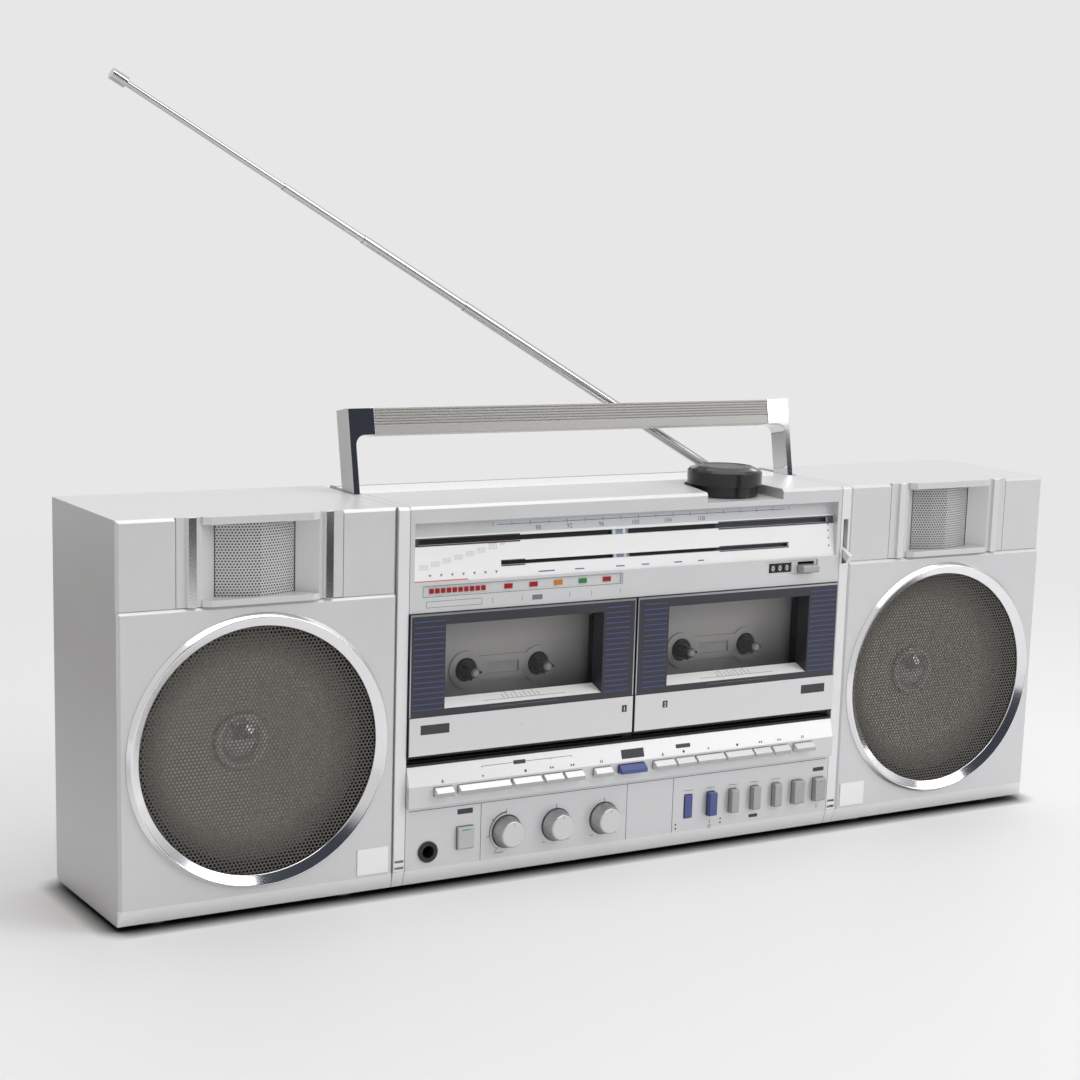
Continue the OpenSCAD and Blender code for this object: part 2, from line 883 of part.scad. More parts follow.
// Transport key with a sloped top
module transport_key(k) {
    tip = yf - ledge_out - key_out;
    color(k[3])
        along_x(about(place(k[1]), place(k[2])))
            polygon([
                [tip, key_foot_z],
                [tip, key_foot_z + key_h * 0.48],
                [tip + key_h * 0.66, key_foot_z + key_h],
                [yf + wall + stem_l, key_foot_z + key_h],
                [yf + wall + stem_l, key_foot_z],
            ]);
}

module push_switch(s) {
    color(s[4])
        push_piece(place(s[1]), control_z, [place(s[2]), switch_h], yf - switch_out + s[3]);
}

module counter_reset_button() {
    color("silver")
        push_piece(reset_x, reset_z, reset_size, yf - reset_out);
}

module memory_button() {
    color("silver")
        push_piece(memory_x, control_z, memory_size, yf - memory_out);
}

module rotary_knob(r) {
    color("silver")
        turned_y(place(r[1]), yf, control_z)
            polygon([
                [0, -dial_knob_out],
                [dial_knob_face_r - 0.5, -dial_knob_out],
                [dial_knob_face_r, -dial_knob_out + 0.5],
                [dial_knob_r, -slack],
                [shaft_r, -slack],
                [shaft_r, wall + 6],
                [0, wall + 6],
            ]);
}

// Lever with a round hub on a pin, pointing forward and down at rest
module band_lever() {
    color("silver")
        union() {
            rod_x(lever_r - 1, lever_x, lever_y, lever_z);
            rod_x(lever_pin_r, [panel_x + 0.6, rail_x - 0.6], lever_y, lever_z);
            translate([0, lever_y, lever_z])
                rotate([lever_drop, 0, 0])
                    block(lever_x, [-lever_reach, 0], about(0, lever_w));
        }
}

// Half of one arm seen from the front: a slim leg that turns into the corner beside the grip
module arm_outline() {
    grip_z = arm_len - grip_h;
    difference() {
        union() {
            translate([arm_x[0], 0])
                square([arm_t, arm_len]);
            translate([arm_x[1] - corner_w, grip_z])
                square([corner_w, grip_h]);
            translate([arm_x[0] - corner_r, grip_z - corner_r])
                square([corner_r + over, corner_r + over]);
        }
        translate([arm_x[0] - corner_r, grip_z - corner_r])
            circle(r = corner_r);
    }
}

module carrying_handle() {
    grip_x = arm_x[1] - corner_w - fit;
    translate([0, pivot_y, pivot_z])
        rotate([-handle_lean, 0, 0]) {
            color("lightgray")
                both_sides() {
                    along_y(about(0, arm_d))
                        arm_outline();
                    rod_x(arm_d / 2, arm_x, 0, 0);
                    rod_x(pin_r, [panel_x - boss_l, arm_x[0] + over], 0, 0);
                }
            color("darkgray")
                difference() {
                    block([-grip_x, grip_x], about(0, grip_d), [arm_len - grip_h + 0.2, arm_len - 0.2]);
                    for (i = [0:groove_count - 1])
                        block(
                            [-grip_x - over, grip_x + over],
                            [-grip_d / 2 - over, -grip_d / 2 + 0.4],
                            about(arm_len - grip_h + 5.2 + 1.4 * i, 0.5)
                        );
                }
        }
}

// Places a piece of the aerial: it is drawn along +X from the pivot, then turned to point left and up
module on_aerial() {
    translate([aerial_x, aerial_y, aerial_z])
        rotate([0, 180 + aerial_tilt, 0])
            children();
}

// Turret post with a fork that holds the aerial's tongue
module aerial_knuckle() {
    fork = tongue_t / 2 + slack;
    color("lightgray")
        difference() {
            union() {
                rod_z(post_r, aerial_x, aerial_y, [rabbet_z - post_h, cradle_z]);
                for (s = [-1, 1])
                    hinge_cheek(aerial_y + s * (fork + cheek_t / 2));
                intersection() {
                    rod_z(turret_r - 0.4, aerial_x, aerial_y, [rabbet_z, cradle_z]);
                    block(
                        about(aerial_x, 2 * turret_r),
                        about(aerial_y, 2 * (fork + cheek_t)),
                        [rabbet_z, aerial_z]
                    );
                }
            }
            rod_y(aerial_pin_r + fit, aerial_x, about(aerial_y, 12), aerial_z);
        }
}

module hinge_cheek(y) {
    r = aerial_dia / 2;
    rod_y(r, aerial_x, about(y, cheek_t), aerial_z);
    block(about(aerial_x, 2 * r), about(y, cheek_t), [rabbet_z, aerial_z]);
}

// Hollow tube of the aerial between two distances from the pivot
module aerial_tube(dia, from, to) {
    bore = (dia - aerial_step) / 2 + fit;
    on_aerial()
        difference() {
            rod_x(dia / 2, [from, to], 0, 0);
            rod_x(bore, [from - over, to + over], 0, 0);
        }
}

module aerial_tube_1() {
    r = aerial_dia / 2;
    pin_l = 2 * (tongue_t / 2 + slack + cheek_t);
    color("gainsboro")
        union() {
            aerial_tube(aerial_dia, plug_l - over, end_1);
            on_aerial() {
                rod_x(r, [r + 1.2, plug_l], 0, 0);
                rod_y(tongue_r, 0, about(0, tongue_t), 0);
                block([0, r + 2], about(0, tongue_t), about(0, 2 * tongue_r - 0.4));
                rod_y(aerial_pin_r, 0, about(0, pin_l), 0);
            }
        }
}

module aerial_tube_2() {
    color("gainsboro")
        aerial_tube(aerial_dia - aerial_step, end_2 - tube_2, end_2);
}

module aerial_tube_3() {
    color("gainsboro")
        aerial_tube(aerial_dia - 2 * aerial_step, end_3 - tube_3, end_3);
}

module aerial_tip() {
    color("gainsboro")
        on_aerial()
            union() {
                rod_x((aerial_dia - 3 * aerial_step) / 2, [end_4 - tube_4, end_4 + over], 0, 0);
                rod_x(tip_r, [end_4, end_4 + tip_l], 0, 0);
            }
}

// Cassette door: plate with a deep window, hinge ears with pins, and an open holder behind
module cassette_door(side) {
    ear_l = 5;
    cheek_x = pocket_w / 2;
    holder_y = deck_y - relief - 2 * slack;
    front = yf - door_proud;
    sill_z = door_z + window_rise;
    head_z = sill_z + window_h;
    color([0.25, 0.25, 0.3])
        side_of(side)
            union() {
                difference() {
                    union() {
                        along_x(about(deck_x, door_w))
                            polygon([
                                [front + 1.5, door_z],
                                [front, door_z + 1.5],
                                [front, door_top],
                                [door_back, door_top],
                                [door_back, door_z],
                            ]);
                        block(
                            about(deck_x, window_w + 2 * tunnel_t),
                            [door_back - over, pane_y],
                            [sill_z - tunnel_t, head_z + tunnel_t]
                        );
                    }
                    along_x(about(deck_x, window_w))
                        polygon([
                            [front - over, sill_z],
                            [front, sill_z],
                            [pane_y, sill_z + ledge_rise],
                            [pane_y + over, sill_z + ledge_rise],
                            [pane_y + over, head_z],
                            [front - over, head_z],
                        ]);
                }
                block(
                    about(deck_x, pocket_w + 4),
                    [door_back - over, holder_y],
                    [door_z + 0.8, door_z + 2.6]
                );
                for (s = [-1, 1])
                    block(
                        about(deck_x + s * (cheek_x + 1), 2),
                        [door_back - over, holder_y],
                        [door_z + 0.8, door_top - 12]
                    );
                for (x = [well_in + slack, well_out - slack - ear_l])
                    hinge_ear([x, x + ear_l]);
                rod_x(hinge_r, [well_in - hinge_l, well_in + slack + over], hinge_y, hinge_z);
                rod_x(hinge_r, [well_out - slack - over, well_out + hinge_l], hinge_y, hinge_z);
            }
}

module hinge_ear(x) {
    rod_x(ear_r, x, hinge_y, hinge_z);
    block(x, [door_back - over, hinge_y], [hinge_z, hinge_z + ear_r]);
}

module door_window(side) {
    sill_z = door_z + window_rise;
    color([0.3, 0.3, 0.35, 0.5])
        side_of(side)
            block(
                about(deck_x, window_w + 2 * tunnel_t),
                [pane_y, pane_y + pane_t],
                [sill_z + ledge_rise - tunnel_t, sill_z + window_h + tunnel_t]
            );
}

// Whole outline of a speaker box behind a front plane, with chamfered upright edges
module speaker_solid(front) {
    intersection() {
        along_x([speaker_x, speaker_x + speaker_w])
            polygon(side_outline(front));
        along_z([z0 - over, zt + over])
            polygon([
                [speaker_x + edge, front],
                [speaker_x + speaker_w - edge, front],
                [speaker_x + speaker_w, front + edge],
                [speaker_x + speaker_w, yb - edge],
                [speaker_x + speaker_w - edge, yb],
                [speaker_x + edge, yb],
                [speaker_x, yb - edge],
                [speaker_x, front + edge],
            ]);
    }
}

module speaker_box(side) {
    inner_x = [speaker_x + wall, speaker_x + speaker_w - wall];
    slot_top = hang_z + rail_len + slack;
    color("lightgray")
        side_of(side)
            difference() {
                union() {
                    difference() {
                        speaker_solid(yf);
                        block(inner_x, [yf - over, yb - wall], [z0 + wall, zt - wall]);
                        block(
                            [speaker_x - over, speaker_x + speaker_w + over],
                            [yf - over, yf + baffle_t],
                            [z0 - over, zt + over]
                        );
                    }
                    block(
                        [speaker_x + wall / 2, speaker_x + hang_block[0]],
                        about(hang_y, hang_block[1]),
                        [z0 + wall / 2, slot_top + wall]
                    );
                    for (x = [speaker_x + 22, speaker_x + speaker_w - 22], y = [yf + 14, yb - 14])
                        foot(x, y);
                }
                // T-shaped groove that slides over the cabinet's rail
                block(
                    [speaker_x - over, rail_x + neck[0]],
                    about(hang_y, neck[1] + 2 * slack),
                    [z0 - over, slot_top]
                );
                block(
                    [rail_x + neck[0] - slack, rail_x + neck[0] + head[0] + slack],
                    about(hang_y, head[1] + 2 * slack),
                    [z0 - over, slot_top]
                );
            }
}

module speaker_front(side) {
    span = [speaker_x - over, speaker_x + speaker_w + over];
    thick = [yf - over, yf + baffle_t];
    groove = 2 * seam;
    color("silver")
        side_of(side)
            difference() {
                union() {
                    intersection() {
                        speaker_solid(yf);
                        block(span, thick, [z0 - over, split_z]);
                    }
                    // Upper front, stepped back from the lower
                    intersection() {
                        speaker_solid(yf + baffle_step);
                        block(span, thick, [split_z - over, zt + over]);
                    }
                }
                // Chamfer along the lower front's top, and a groove under the upper front
                along_x(span)
                    polygon([
                        [yf - over, split_z - baffle_step - over],
                        [yf - over, split_z + groove],
                        [yf + baffle_step + groove, split_z + groove],
                    ]);
                // Openings for the tweeter module and the woofer's grille
                block(
                    about(speaker_mid, tweeter_w),
                    [yf - over, yf + baffle_t + over],
                    [split_z + seam, zt + over]
                );
                rod_y(spigot_r + seam, speaker_mid, [yf - over, yf + baffle_t + over], ring_z);
            }
}

// Trim ring with the grille disc held in its bore
module woofer_grille(side) {
    color("darkgray")
        side_of(side)
            turned_y(speaker_mid, yf, ring_z)
                polygon([
                    [0, 1.2],
                    [mesh_r, 1.2],
                    [mesh_r, 0.4],
                    [mesh_r + ring_w / 3, -ring_out],
                    [mesh_r + ring_w / 2, -ring_out],
                    [ring_r, -0.6],
                    [ring_r, 0],
                    [spigot_r, 0],
                    [spigot_r, 2.2],
                    [0, 2.2],
                ]);
}

// Driver behind the baffle: flange, cone with dust cap, basket and magnet
module woofer(side) {
    rim = mesh_r + ring_w / 2;
    roll = 0.9 * mesh_r;
    d = driver_d / 9;
    color("dimgray")
        side_of(side)
            turned_y(speaker_mid, yf + baffle_t, ring_z)
                polygon([
                    [0, 2.7 * d],
                    [0.13 * mesh_r, 3 * d],
                    [0.22 * mesh_r, 3.7 * d],
                    [roll, d],
                    [(roll + rim) / 2, 0.7 * d],
                    [rim - 2, d],
                    [rim - 1, 0],
                    [rim, 0],
                    [rim, 1.6 * d],
                    [0.43 * mesh_r, 5.7 * d],
                    [0.6 * mesh_r, 6 * d],
                    [0.6 * mesh_r, driver_d],
                    [0, driver_d],
                ]);
}

// Tweeter module: housing with a flared mouth, two lips, two plated bars and a V-shaped grille
module tweeter(side) {
    half = tweeter_w / 2 - seam;
    mesh_half = tweeter_mesh_w / 2;
    face_y = yf + baffle_step;
    foot_z = split_z + 2 * seam;
    mouth_z = [foot_z + lip_h, zt - wall - seam - roof_t];
    mesh_y = yf + 9;
    mesh_rise = 6;
    color("lightgray")
        side_of(side)
            translate([speaker_mid, 0, 0])
                union() {
                    difference() {
                        union() {
                            block([-half, half], [face_y, yf + baffle_t], [foot_z, zt]);
                            block(
                                [-half + 6, half - 6],
                                [face_y, yf + tweeter_d],
                                [foot_z + 2, zt - wall - seam]
                            );
                        }
                        along_z(mouth_z)
                            polygon([
                                [-lip_w / 2, yf - over],
                                [lip_w / 2, yf - over],
                                [lip_w / 2, face_y],
                                [mesh_half, mesh_y],
                                [mesh_half, mesh_y + 2],
                                [-mesh_half, mesh_y + 2],
                                [-mesh_half, mesh_y],
                                [-lip_w / 2, face_y],
                            ]);
                    }
                    along_z([mouth_z[0] - roof_t, mouth_z[1] + roof_t / 2])
                        polygon([
                            [-mesh_half - over, mesh_y + over / 4],
                            [-mesh_half / 2, mesh_y - 0.65 * mesh_rise],
                            [0, mesh_y - mesh_rise],
                            [mesh_half / 2, mesh_y - 0.65 * mesh_rise],
                            [mesh_half + over, mesh_y + over / 4],
                            [mesh_half + over, mesh_y + 1.5],
                            [-mesh_half - over, mesh_y + 1.5],
                        ]);
                    for (z = [[foot_z, mouth_z[0]], [mouth_z[1], zt]])
                        along_z(z)
                            polygon([
                                [-lip_w / 2, face_y + over],
                                [-lip_w / 2, face_y - 0.8],
                                [-lip_w / 2 + 4, yf - 1.5],
                                [lip_w / 2 - 4, yf - 1.5],
                                [lip_w / 2, face_y - 0.8],
                                [lip_w / 2, face_y + over],
                            ]);
                    for (s = [-1, 1])
                        block(about(s * bar_x, bar_w), [yf - 0.3, face_y + over], [foot_z, zt]);
                }
}

front_panel();
main_cabinet();
dial_scale();
indicator_lamps();
deck_plates();
circuit_board();
headphone_jack();
tuning_knob();
dial_pointer();
counter_reset_button();
memory_button();
band_lever();
carrying_handle();
aerial_knuckle();
aerial_tube_1();
aerial_tube_2();
aerial_tube_3();
aerial_tip();
cassette_door(-1);  // cassette_door_1
cassette_door(1);  // cassette_door_2
door_window(-1);  // door_window_1
door_window(1);  // door_window_2
for (s = SPINDLES) spindle(s[1], s[2]);
for (k = KEYS) transport_key(k);
for (s = SWITCHES) push_switch(s);
for (r = ROTARIES) rotary_knob(r);
speaker_box(-1);  // speaker_box_left
speaker_front(-1);  // speaker_front_left
woofer_grille(-1);  // woofer_grille_left
woofer(-1);  // woofer_left
tweeter(-1);  // tweeter_left
speaker_box(1);  // speaker_box_right
speaker_front(1);  // speaker_front_right
woofer_grille(1);  // woofer_grille_right
woofer(1);  // woofer_right
tweeter(1);  // tweeter_right
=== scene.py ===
# %% [markdown]
# # A twin-cassette radio recorder in the studio
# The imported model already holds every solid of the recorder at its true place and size. This lesson
# gives each solid a finish and adds what a solid can't show: punched grilles, printed scales, ribs,
# numbers and screws.

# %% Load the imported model
import functools
import math

import bmesh
import bpy
from mathutils import Matrix, Vector


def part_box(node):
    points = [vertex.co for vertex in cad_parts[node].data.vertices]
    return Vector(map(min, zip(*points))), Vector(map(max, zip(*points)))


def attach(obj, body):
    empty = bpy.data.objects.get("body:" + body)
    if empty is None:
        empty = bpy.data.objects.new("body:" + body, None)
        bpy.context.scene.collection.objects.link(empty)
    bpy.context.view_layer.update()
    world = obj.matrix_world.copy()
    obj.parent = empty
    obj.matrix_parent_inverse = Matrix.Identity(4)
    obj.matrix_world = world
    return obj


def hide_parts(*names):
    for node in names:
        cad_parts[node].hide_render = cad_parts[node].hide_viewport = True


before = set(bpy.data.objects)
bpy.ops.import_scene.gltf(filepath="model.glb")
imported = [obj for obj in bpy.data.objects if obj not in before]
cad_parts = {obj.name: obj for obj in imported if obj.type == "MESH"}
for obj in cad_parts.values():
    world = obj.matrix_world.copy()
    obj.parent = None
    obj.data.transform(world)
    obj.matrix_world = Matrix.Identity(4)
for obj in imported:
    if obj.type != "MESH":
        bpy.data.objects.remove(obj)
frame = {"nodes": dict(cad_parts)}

nodes, scene = frame["nodes"], bpy.context.scene
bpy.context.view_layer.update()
print("solids loaded:", len(nodes))

# %% [markdown]
# ## Camera
# A camera could be pointed by eye. This one was fitted to the edges of the box in the picture, which
# gives all of it at once: a long lens, a slight roll, and a shift because the picture was cropped.

# %% Camera
MM = 0.001
AZIMUTH, ELEVATION, ROLL = [math.radians(angle) for angle in (-32.502, 11.064, 1.969)]
DISTANCE, TARGET = 1.1867, Vector((0.0028, 0.0, 0.110))
FOCAL_PX, FRAME_PX, LENS_PX = 2216.0, 1080.0, (593.9, 638.5)


def shown(name, data):
    """An object in the scene."""
    obj = bpy.data.objects.new(name, data)
    scene.collection.objects.link(obj)
    return obj


camera = scene.camera = shown("camera", bpy.data.cameras.new("camera"))
stand = Matrix.Translation(TARGET)
for angle, axis in ((AZIMUTH, "Z"), (math.pi / 2 - ELEVATION, "X"), (ROLL, "Z")):
    stand = stand @ Matrix.Rotation(angle, 4, axis)
camera.matrix_world = stand @ Matrix.Translation((0, 0, DISTANCE))
camera.data.sensor_width = 36.0
camera.data.lens = FOCAL_PX / FRAME_PX * camera.data.sensor_width
camera.data.shift_x = 0.5 - LENS_PX[0] / FRAME_PX
camera.data.shift_y = LENS_PX[1] / FRAME_PX - 0.5
camera.data.clip_start = 0.01
print("lens", round(camera.data.lens, 2), "mm")

# %% [markdown]
# ## Finishes
# A finish is a small set of shader nodes. Every one starts from the same recipe: a soft cloud that
# varies colour and gloss by a few percent, a fine grain, and a rounded look on sharp edges. Patterns
# read Object coordinates, so they stay put when a piece moves.


# %% Helpers for nodes
def add(tree, kind, ins=(), **settings):
    """Adds a node with its properties and inputs, and hands over its outputs."""
    made = tree.nodes.new(kind)
    for key, value in settings.items():
        setattr(made, key, value)
    for key, value in dict(ins).items():
        if isinstance(value, bpy.types.NodeSocket):
            tree.links.new(value, made.inputs[key])
        else:
            made.inputs[key].default_value = value
    return made.outputs


def maths(tree, operation, a, b):
    """The result of a sum on two values."""
    return add(tree, "ShaderNodeMath", {0: a, 1: b}, operation=operation)[0]


def ramp(tree, value, low, high):
    """A share from 0 to 1 while a value goes from low to high."""
    limits = {"Value": value, "From Min": low, "From Max": high}
    return add(tree, "ShaderNodeMapRange", limits)[0]


def rgba(colour):
    """Three numbers as an opaque colour."""
    return (*colour, 1.0)


def mixed(tree, share, a, b):
    """A colour between two, each a socket or three numbers."""
    ends = [c if isinstance(c, bpy.types.NodeSocket) else rgba(c) for c in (a, b)]
    return add(tree, "ShaderNodeMix", {0: share, 6: ends[0], 7: ends[1]}, data_type="RGBA")[2]


def vector(tree, operation, a, b=(0, 0, 0)):
    """The results of a sum on two vectors."""
    return add(tree, "ShaderNodeVectorMath", {0: a, 1: b}, operation=operation)


def place_on(tree):
    """The place on the object, in metres."""
    return add(tree, "ShaderNodeTexCoord")["Object"]


def axes_of(tree):
    """The place on the object along x, y and z."""
    return add(tree, "ShaderNodeSeparateXYZ", {0: place_on(tree)})


# %% Recipe for a finish
def finish(
    name, colour, rough, metal=0.0, cloud=0.05, patch=20, grain=0.05, speck=0.5, edge=0.0, **sockets
):
    """A finish with clouded colour and gloss, a grain of speck millimetres and softened edges."""
    mat = bpy.data.materials.new(name)
    mat.use_nodes = True
    tree = mat.node_tree
    shader = tree.nodes["Principled BSDF"]
    spot = place_on(tree)
    cloudy = {"Vector": spot, "Scale": 1 / (patch * MM), "Detail": 4.0}
    grainy = {"Vector": spot, "Scale": 1 / (speck * MM), "Detail": 2.0}
    share, fine = [add(tree, "ShaderNodeTexNoise", ins)[0] for ins in (cloudy, grainy)]
    tint = mixed(tree, share, [c * (1 - cloud) for c in colour], [c * (1 + cloud) for c in colour])
    spread = {"Value": share, "To Min": rough * 0.8, "To Max": rough * 1.2}
    gloss = add(tree, "ShaderNodeMapRange", spread)[0]
    relief = {"Height": fine, "Strength": grain, "Distance": 0.0001}
    if edge:
        relief["Normal"] = add(tree, "ShaderNodeBevel", {"Radius": edge * MM}, samples=4)[0]
    bump = add(tree, "ShaderNodeBump", relief)[0]
    for key, socket in (("Base Color", tint), ("Roughness", gloss), ("Normal", bump)):
        tree.links.new(socket, shader.inputs[key])
    shader.inputs["Metallic"].default_value = metal
    for key, value in sockets.items():
        shader.inputs[key.replace("_", " ")].default_value = value
    return mat


# %% Masks by place
def within(mat, **limits):
    """A mask that is 1 between limits in millimetres along x, y and z."""
    tree, mask = mat.node_tree, 1.0
    axes = axes_of(tree)
    for axis, (low, high) in limits.items():
        for operation, limit in (("GREATER_THAN", low), ("LESS_THAN", high)):
            edge = maths(tree, operation, axes[axis.upper()], limit * MM)
            mask = maths(tree, "MULTIPLY", mask, edge)
    return mask


def round_spot(mat, x, z, r, soft=0.05):
    """A mask that is 1 within r millimetres of an axis along y, with a soft edge."""
    tree = mat.node_tree
    axes = axes_of(tree)
    level = add(tree, "ShaderNodeCombineXYZ", {0: axes[0], 2: axes[2]})[0]
    away = vector(tree, "DISTANCE", level, (x * MM, 0, z * MM))["Value"]
    return ramp(tree, away, (r + soft) * MM, (r - soft) * MM)


# %% Repainting and dressing
def repaint(mat, mask, colour, rough, metal):
    """Gives the part of a finish under the mask another colour, gloss and metal."""
    tree = mat.node_tree
    shader = tree.nodes["Principled BSDF"]
    for name, value in (("Base Color", rgba(colour)), ("Roughness", rough), ("Metallic", metal)):
        socket = shader.inputs[name]
        kind, a, b, out = ("RGBA", 6, 7, 2) if name == "Base Color" else ("FLOAT", 2, 3, 0)
        was = socket.links[0].from_socket if socket.is_linked else socket.default_value
        mix = add(tree, "ShaderNodeMix", {0: mask, a: was, b: value}, data_type=kind)
        tree.links.new(mix[out], socket)


def touch_up(mat, colour, rough, metal, **limits):
    """Repaints what lies between limits in millimetres."""
    repaint(mat, within(mat, **limits), colour, rough, metal)


def named(*words):
    """The names of the CAD nodes that hold one of the words."""
    return [name for name in nodes if any(word in name for word in words)]


def dress(mat, *words):
    """Puts a finish on the CAD nodes that named() finds."""
    for name in named(*words):
        nodes[name].data.materials.clear()
        nodes[name].data.materials.append(mat)
    print(mat.name, "on", len(named(*words)), "nodes")


# %% [markdown]
# ## Cabinet paint
# The mouldings are plastic with a silver paint: metal flakes in a clear binder. A metal shader alone
# looks too dark and mirror-like, so a third of it is metal and the rest a pale pigment. The sloped
# foot is painted paler, as painted light, and the underside near black, as painted shade. These zones
# and the feet could be separate finishes, but zones of one are less work.

# %% Cabinet paint
SILVER = (0.66, 0.667, 0.677)
SLOPED_FOOT_PAINTED_LIGHT = {"y": (-44.05, -41.3), "z": (2.6, 10.45)}
UNDERSIDE_PAINTED_SHADE, FEET = {"z": (2.4, 2.6)}, {"z": (-1, 2.45)}


def silver(name):
    """Silver paint with painted light on the sloped foot, painted shade on the underside, and pale rubber
    feet.
    """
    mat = finish(name, SILVER, 0.38, 0.35, cloud=0.03, grain=0.10, speck=0.35, edge=0.45)
    # painted light: the sloped foot is paler than the rest of the paint
    touch_up(mat, (0.88, 0.885, 0.89), 0.4, 0.15, **SLOPED_FOOT_PAINTED_LIGHT)
    # painted shade: the underside is near black, so the gap under the set reads dark
    touch_up(mat, (0.03, 0.03, 0.03), 0.6, 0.0, **UNDERSIDE_PAINTED_SHADE)
    touch_up(mat, (0.42, 0.42, 0.41), 0.7, 0.0, **FEET)
    return mat


silver_paint = silver("silver paint")
dress(silver_paint, "speaker_box", "speaker_front")

# %% Zones of the front panel and the cabinet, with painted light and shade
DOOR_RECESS = {"y": (-43.9, 10), "z": (63.3, 140.2)}
KEY_LEDGE_PAINTED_LIGHT = {"y": (-47.2, -43.9), "z": (53.7, 63.3)}
TOP_BAND_HIGHLIGHT, TOP_REAR_SHADE_LINE = {"y": (8.05, 38.4), "z": (192, 193)}, {"y": (35.6, 38.4), "z": (192, 193)}
SIDE_STRIPS_PAINTED_LIGHT = {"y": (-44.5, -43.5), "z": (11, 192)}
front_paint = silver("front paint")
touch_up(front_paint, (0.012, 0.012, 0.013), 0.5, 0.0, **DOOR_RECESS)
# painted light: the key ledge's sloped face is paler, for the light it catches
touch_up(front_paint, (0.88, 0.885, 0.895), 0.3, 0.25, **KEY_LEDGE_PAINTED_LIGHT)
dress(front_paint, "front_panel")
rear_paint = silver("rear paint")
# the rear of the top has a lighter paint, made pure white here as a painted highlight of the light its
# slope catches
touch_up(rear_paint, (1.0, 1.0, 1.0), 0.12, 0.5, **TOP_BAND_HIGHLIGHT)
# painted shade: a darker line along the edge of the rear lip
touch_up(rear_paint, (0.36, 0.35, 0.33), 0.4, 0.2, **TOP_REAR_SHADE_LINE)
# painted light: the side strips' fronts are paler, against the shade of the gaps beside them
touch_up(rear_paint, (0.80, 0.805, 0.815), 0.38, 0.3, **SIDE_STRIPS_PAINTED_LIGHT)
dress(rear_paint, "main_cabinet")

# %% [markdown]
# ## Keys, knobs and plain pieces
# Keys and rotary knobs are plated plastic. A key's upright face is painted darker than its sloped
# top, as painted shade, and a knob's flat face is paler than its side, so each gets a zone at its
# tip. The tuning knob is polished black with painted shade on its top, the spindles' tips carry a
# painted highlight, and the rest of what sits inside is plain.

# %% Keys, knobs and switches
KEY_TIP_Y = min(v.co.y for v in nodes["play_key_1"].data.vertices) / MM
KNOB_X, KNOB_Z = {"volume_knob": -73.8, "balance_knob": -44.4, "tone_knob": -15.4}, 24.0
KNOB_FACE = {"y": (-52, -51.2)}
plated_key = finish("plated key", (0.72, 0.72, 0.73), 0.2, 0.3, cloud=0.03, grain=0.04, edge=0.2)
# painted shade: the upright front face of each key is darker than its sloped top
touch_up(plated_key, (0.42, 0.42, 0.425), 0.16, 0.55, y=(KEY_TIP_Y - 2, KEY_TIP_Y + 0.05))
knob_plate = finish("knob plate", (0.55, 0.55, 0.56), 0.18, 1.0, cloud=0.05, grain=0.04, edge=0.3)
touch_up(knob_plate, (0.64, 0.645, 0.645), 0.32, 0.3, **KNOB_FACE)
dress(
    finish("chrome plate", (0.54, 0.54, 0.55), 0.07, 1.0, cloud=0.02, patch=40, grain=0.02, edge=0.4),
    "aerial",
)
dress(plated_key, "_key_")
dress(knob_plate, *KNOB_X)
switch_cap = finish("switch cap", (0.40, 0.395, 0.385), 0.35, 0.2, grain=0.06, edge=0.3)
dress(switch_cap, "_switch", "_button")
dress(finish("button cap", (0.50, 0.50, 0.495), 0.3, 0.2, grain=0.06, edge=0.3), "memory_button")
dress(finish("blue key", (0.075, 0.095, 0.27), 0.30, 0.1, edge=0.3), "dubbing")
dress(finish("lever cream", (0.72, 0.71, 0.68), 0.3, cloud=0.03, edge=0.3), "band_lever")

# %% Black and inner pieces
SPINDLE_TIP_HIGHLIGHT, TUNING_KNOB_TOP_SHADE = {"y": (-40, -31.4)}, {"z": (202.6, 204)}
black_gloss = finish("polished black", (0.022, 0.022, 0.025), 0.14, cloud=0.2, grain=0.02, edge=0.5)
black_plastic = finish("black plastic", (0.018, 0.018, 0.020), 0.45, cloud=0.2, grain=0.2)
knob_black = finish(
    "knob black", (0.020, 0.020, 0.022), 0.12, grain=0.02, edge=0.5, Specular_IOR_Level=0.4
)
# painted shade: the tuning knob's top is a little darker, and matter
touch_up(knob_black, (0.014, 0.014, 0.015), 0.32, 0.0, **TUNING_KNOB_TOP_SHADE)
spindle_dark = finish("spindle plastic", (0.022, 0.022, 0.022), 0.35, edge=0.2)
# painted highlight: the spindle's tip is pale and glossy on the dark spindle
touch_up(spindle_dark, (0.50, 0.50, 0.50), 0.15, 0.3, **SPINDLE_TIP_HIGHLIGHT)
dress(knob_black, "tuning_knob")
dress(black_plastic, "headphone_jack")
dress(spindle_dark, "spindle")
dress(finish("lacquered board", (0.03, 0.12, 0.05), 0.4, cloud=0.3, patch=6), "circuit_board")

# %% [markdown]
# ## Handle
# The corners and the arms' fronts are plated, the arms' outer sides are satin, and the grip is a grey
# moulding with fine grooves, painted as darker lines of shade. Separate objects could be made, but the
# handle is one stiff piece, so one finish changes from plate to satin to moulding by its place.

# %% Plate, satin and grip of the handle
GRIP_X, ARM_X, ARM_END_X = 122.2, 136.6, 140.0
handle = finish(
    "handle plate and grip", (0.74, 0.74, 0.75), 0.07, 1.0, cloud=0.02, grain=0.04, edge=0.4
)
for sides in ((ARM_X, ARM_END_X), (-ARM_END_X, -ARM_X)):
    touch_up(handle, (0.72, 0.72, 0.73), 0.34, 0.4, x=sides)
touch_up(handle, (0.42, 0.415, 0.40), 0.33, 0.25, x=(-GRIP_X, GRIP_X))

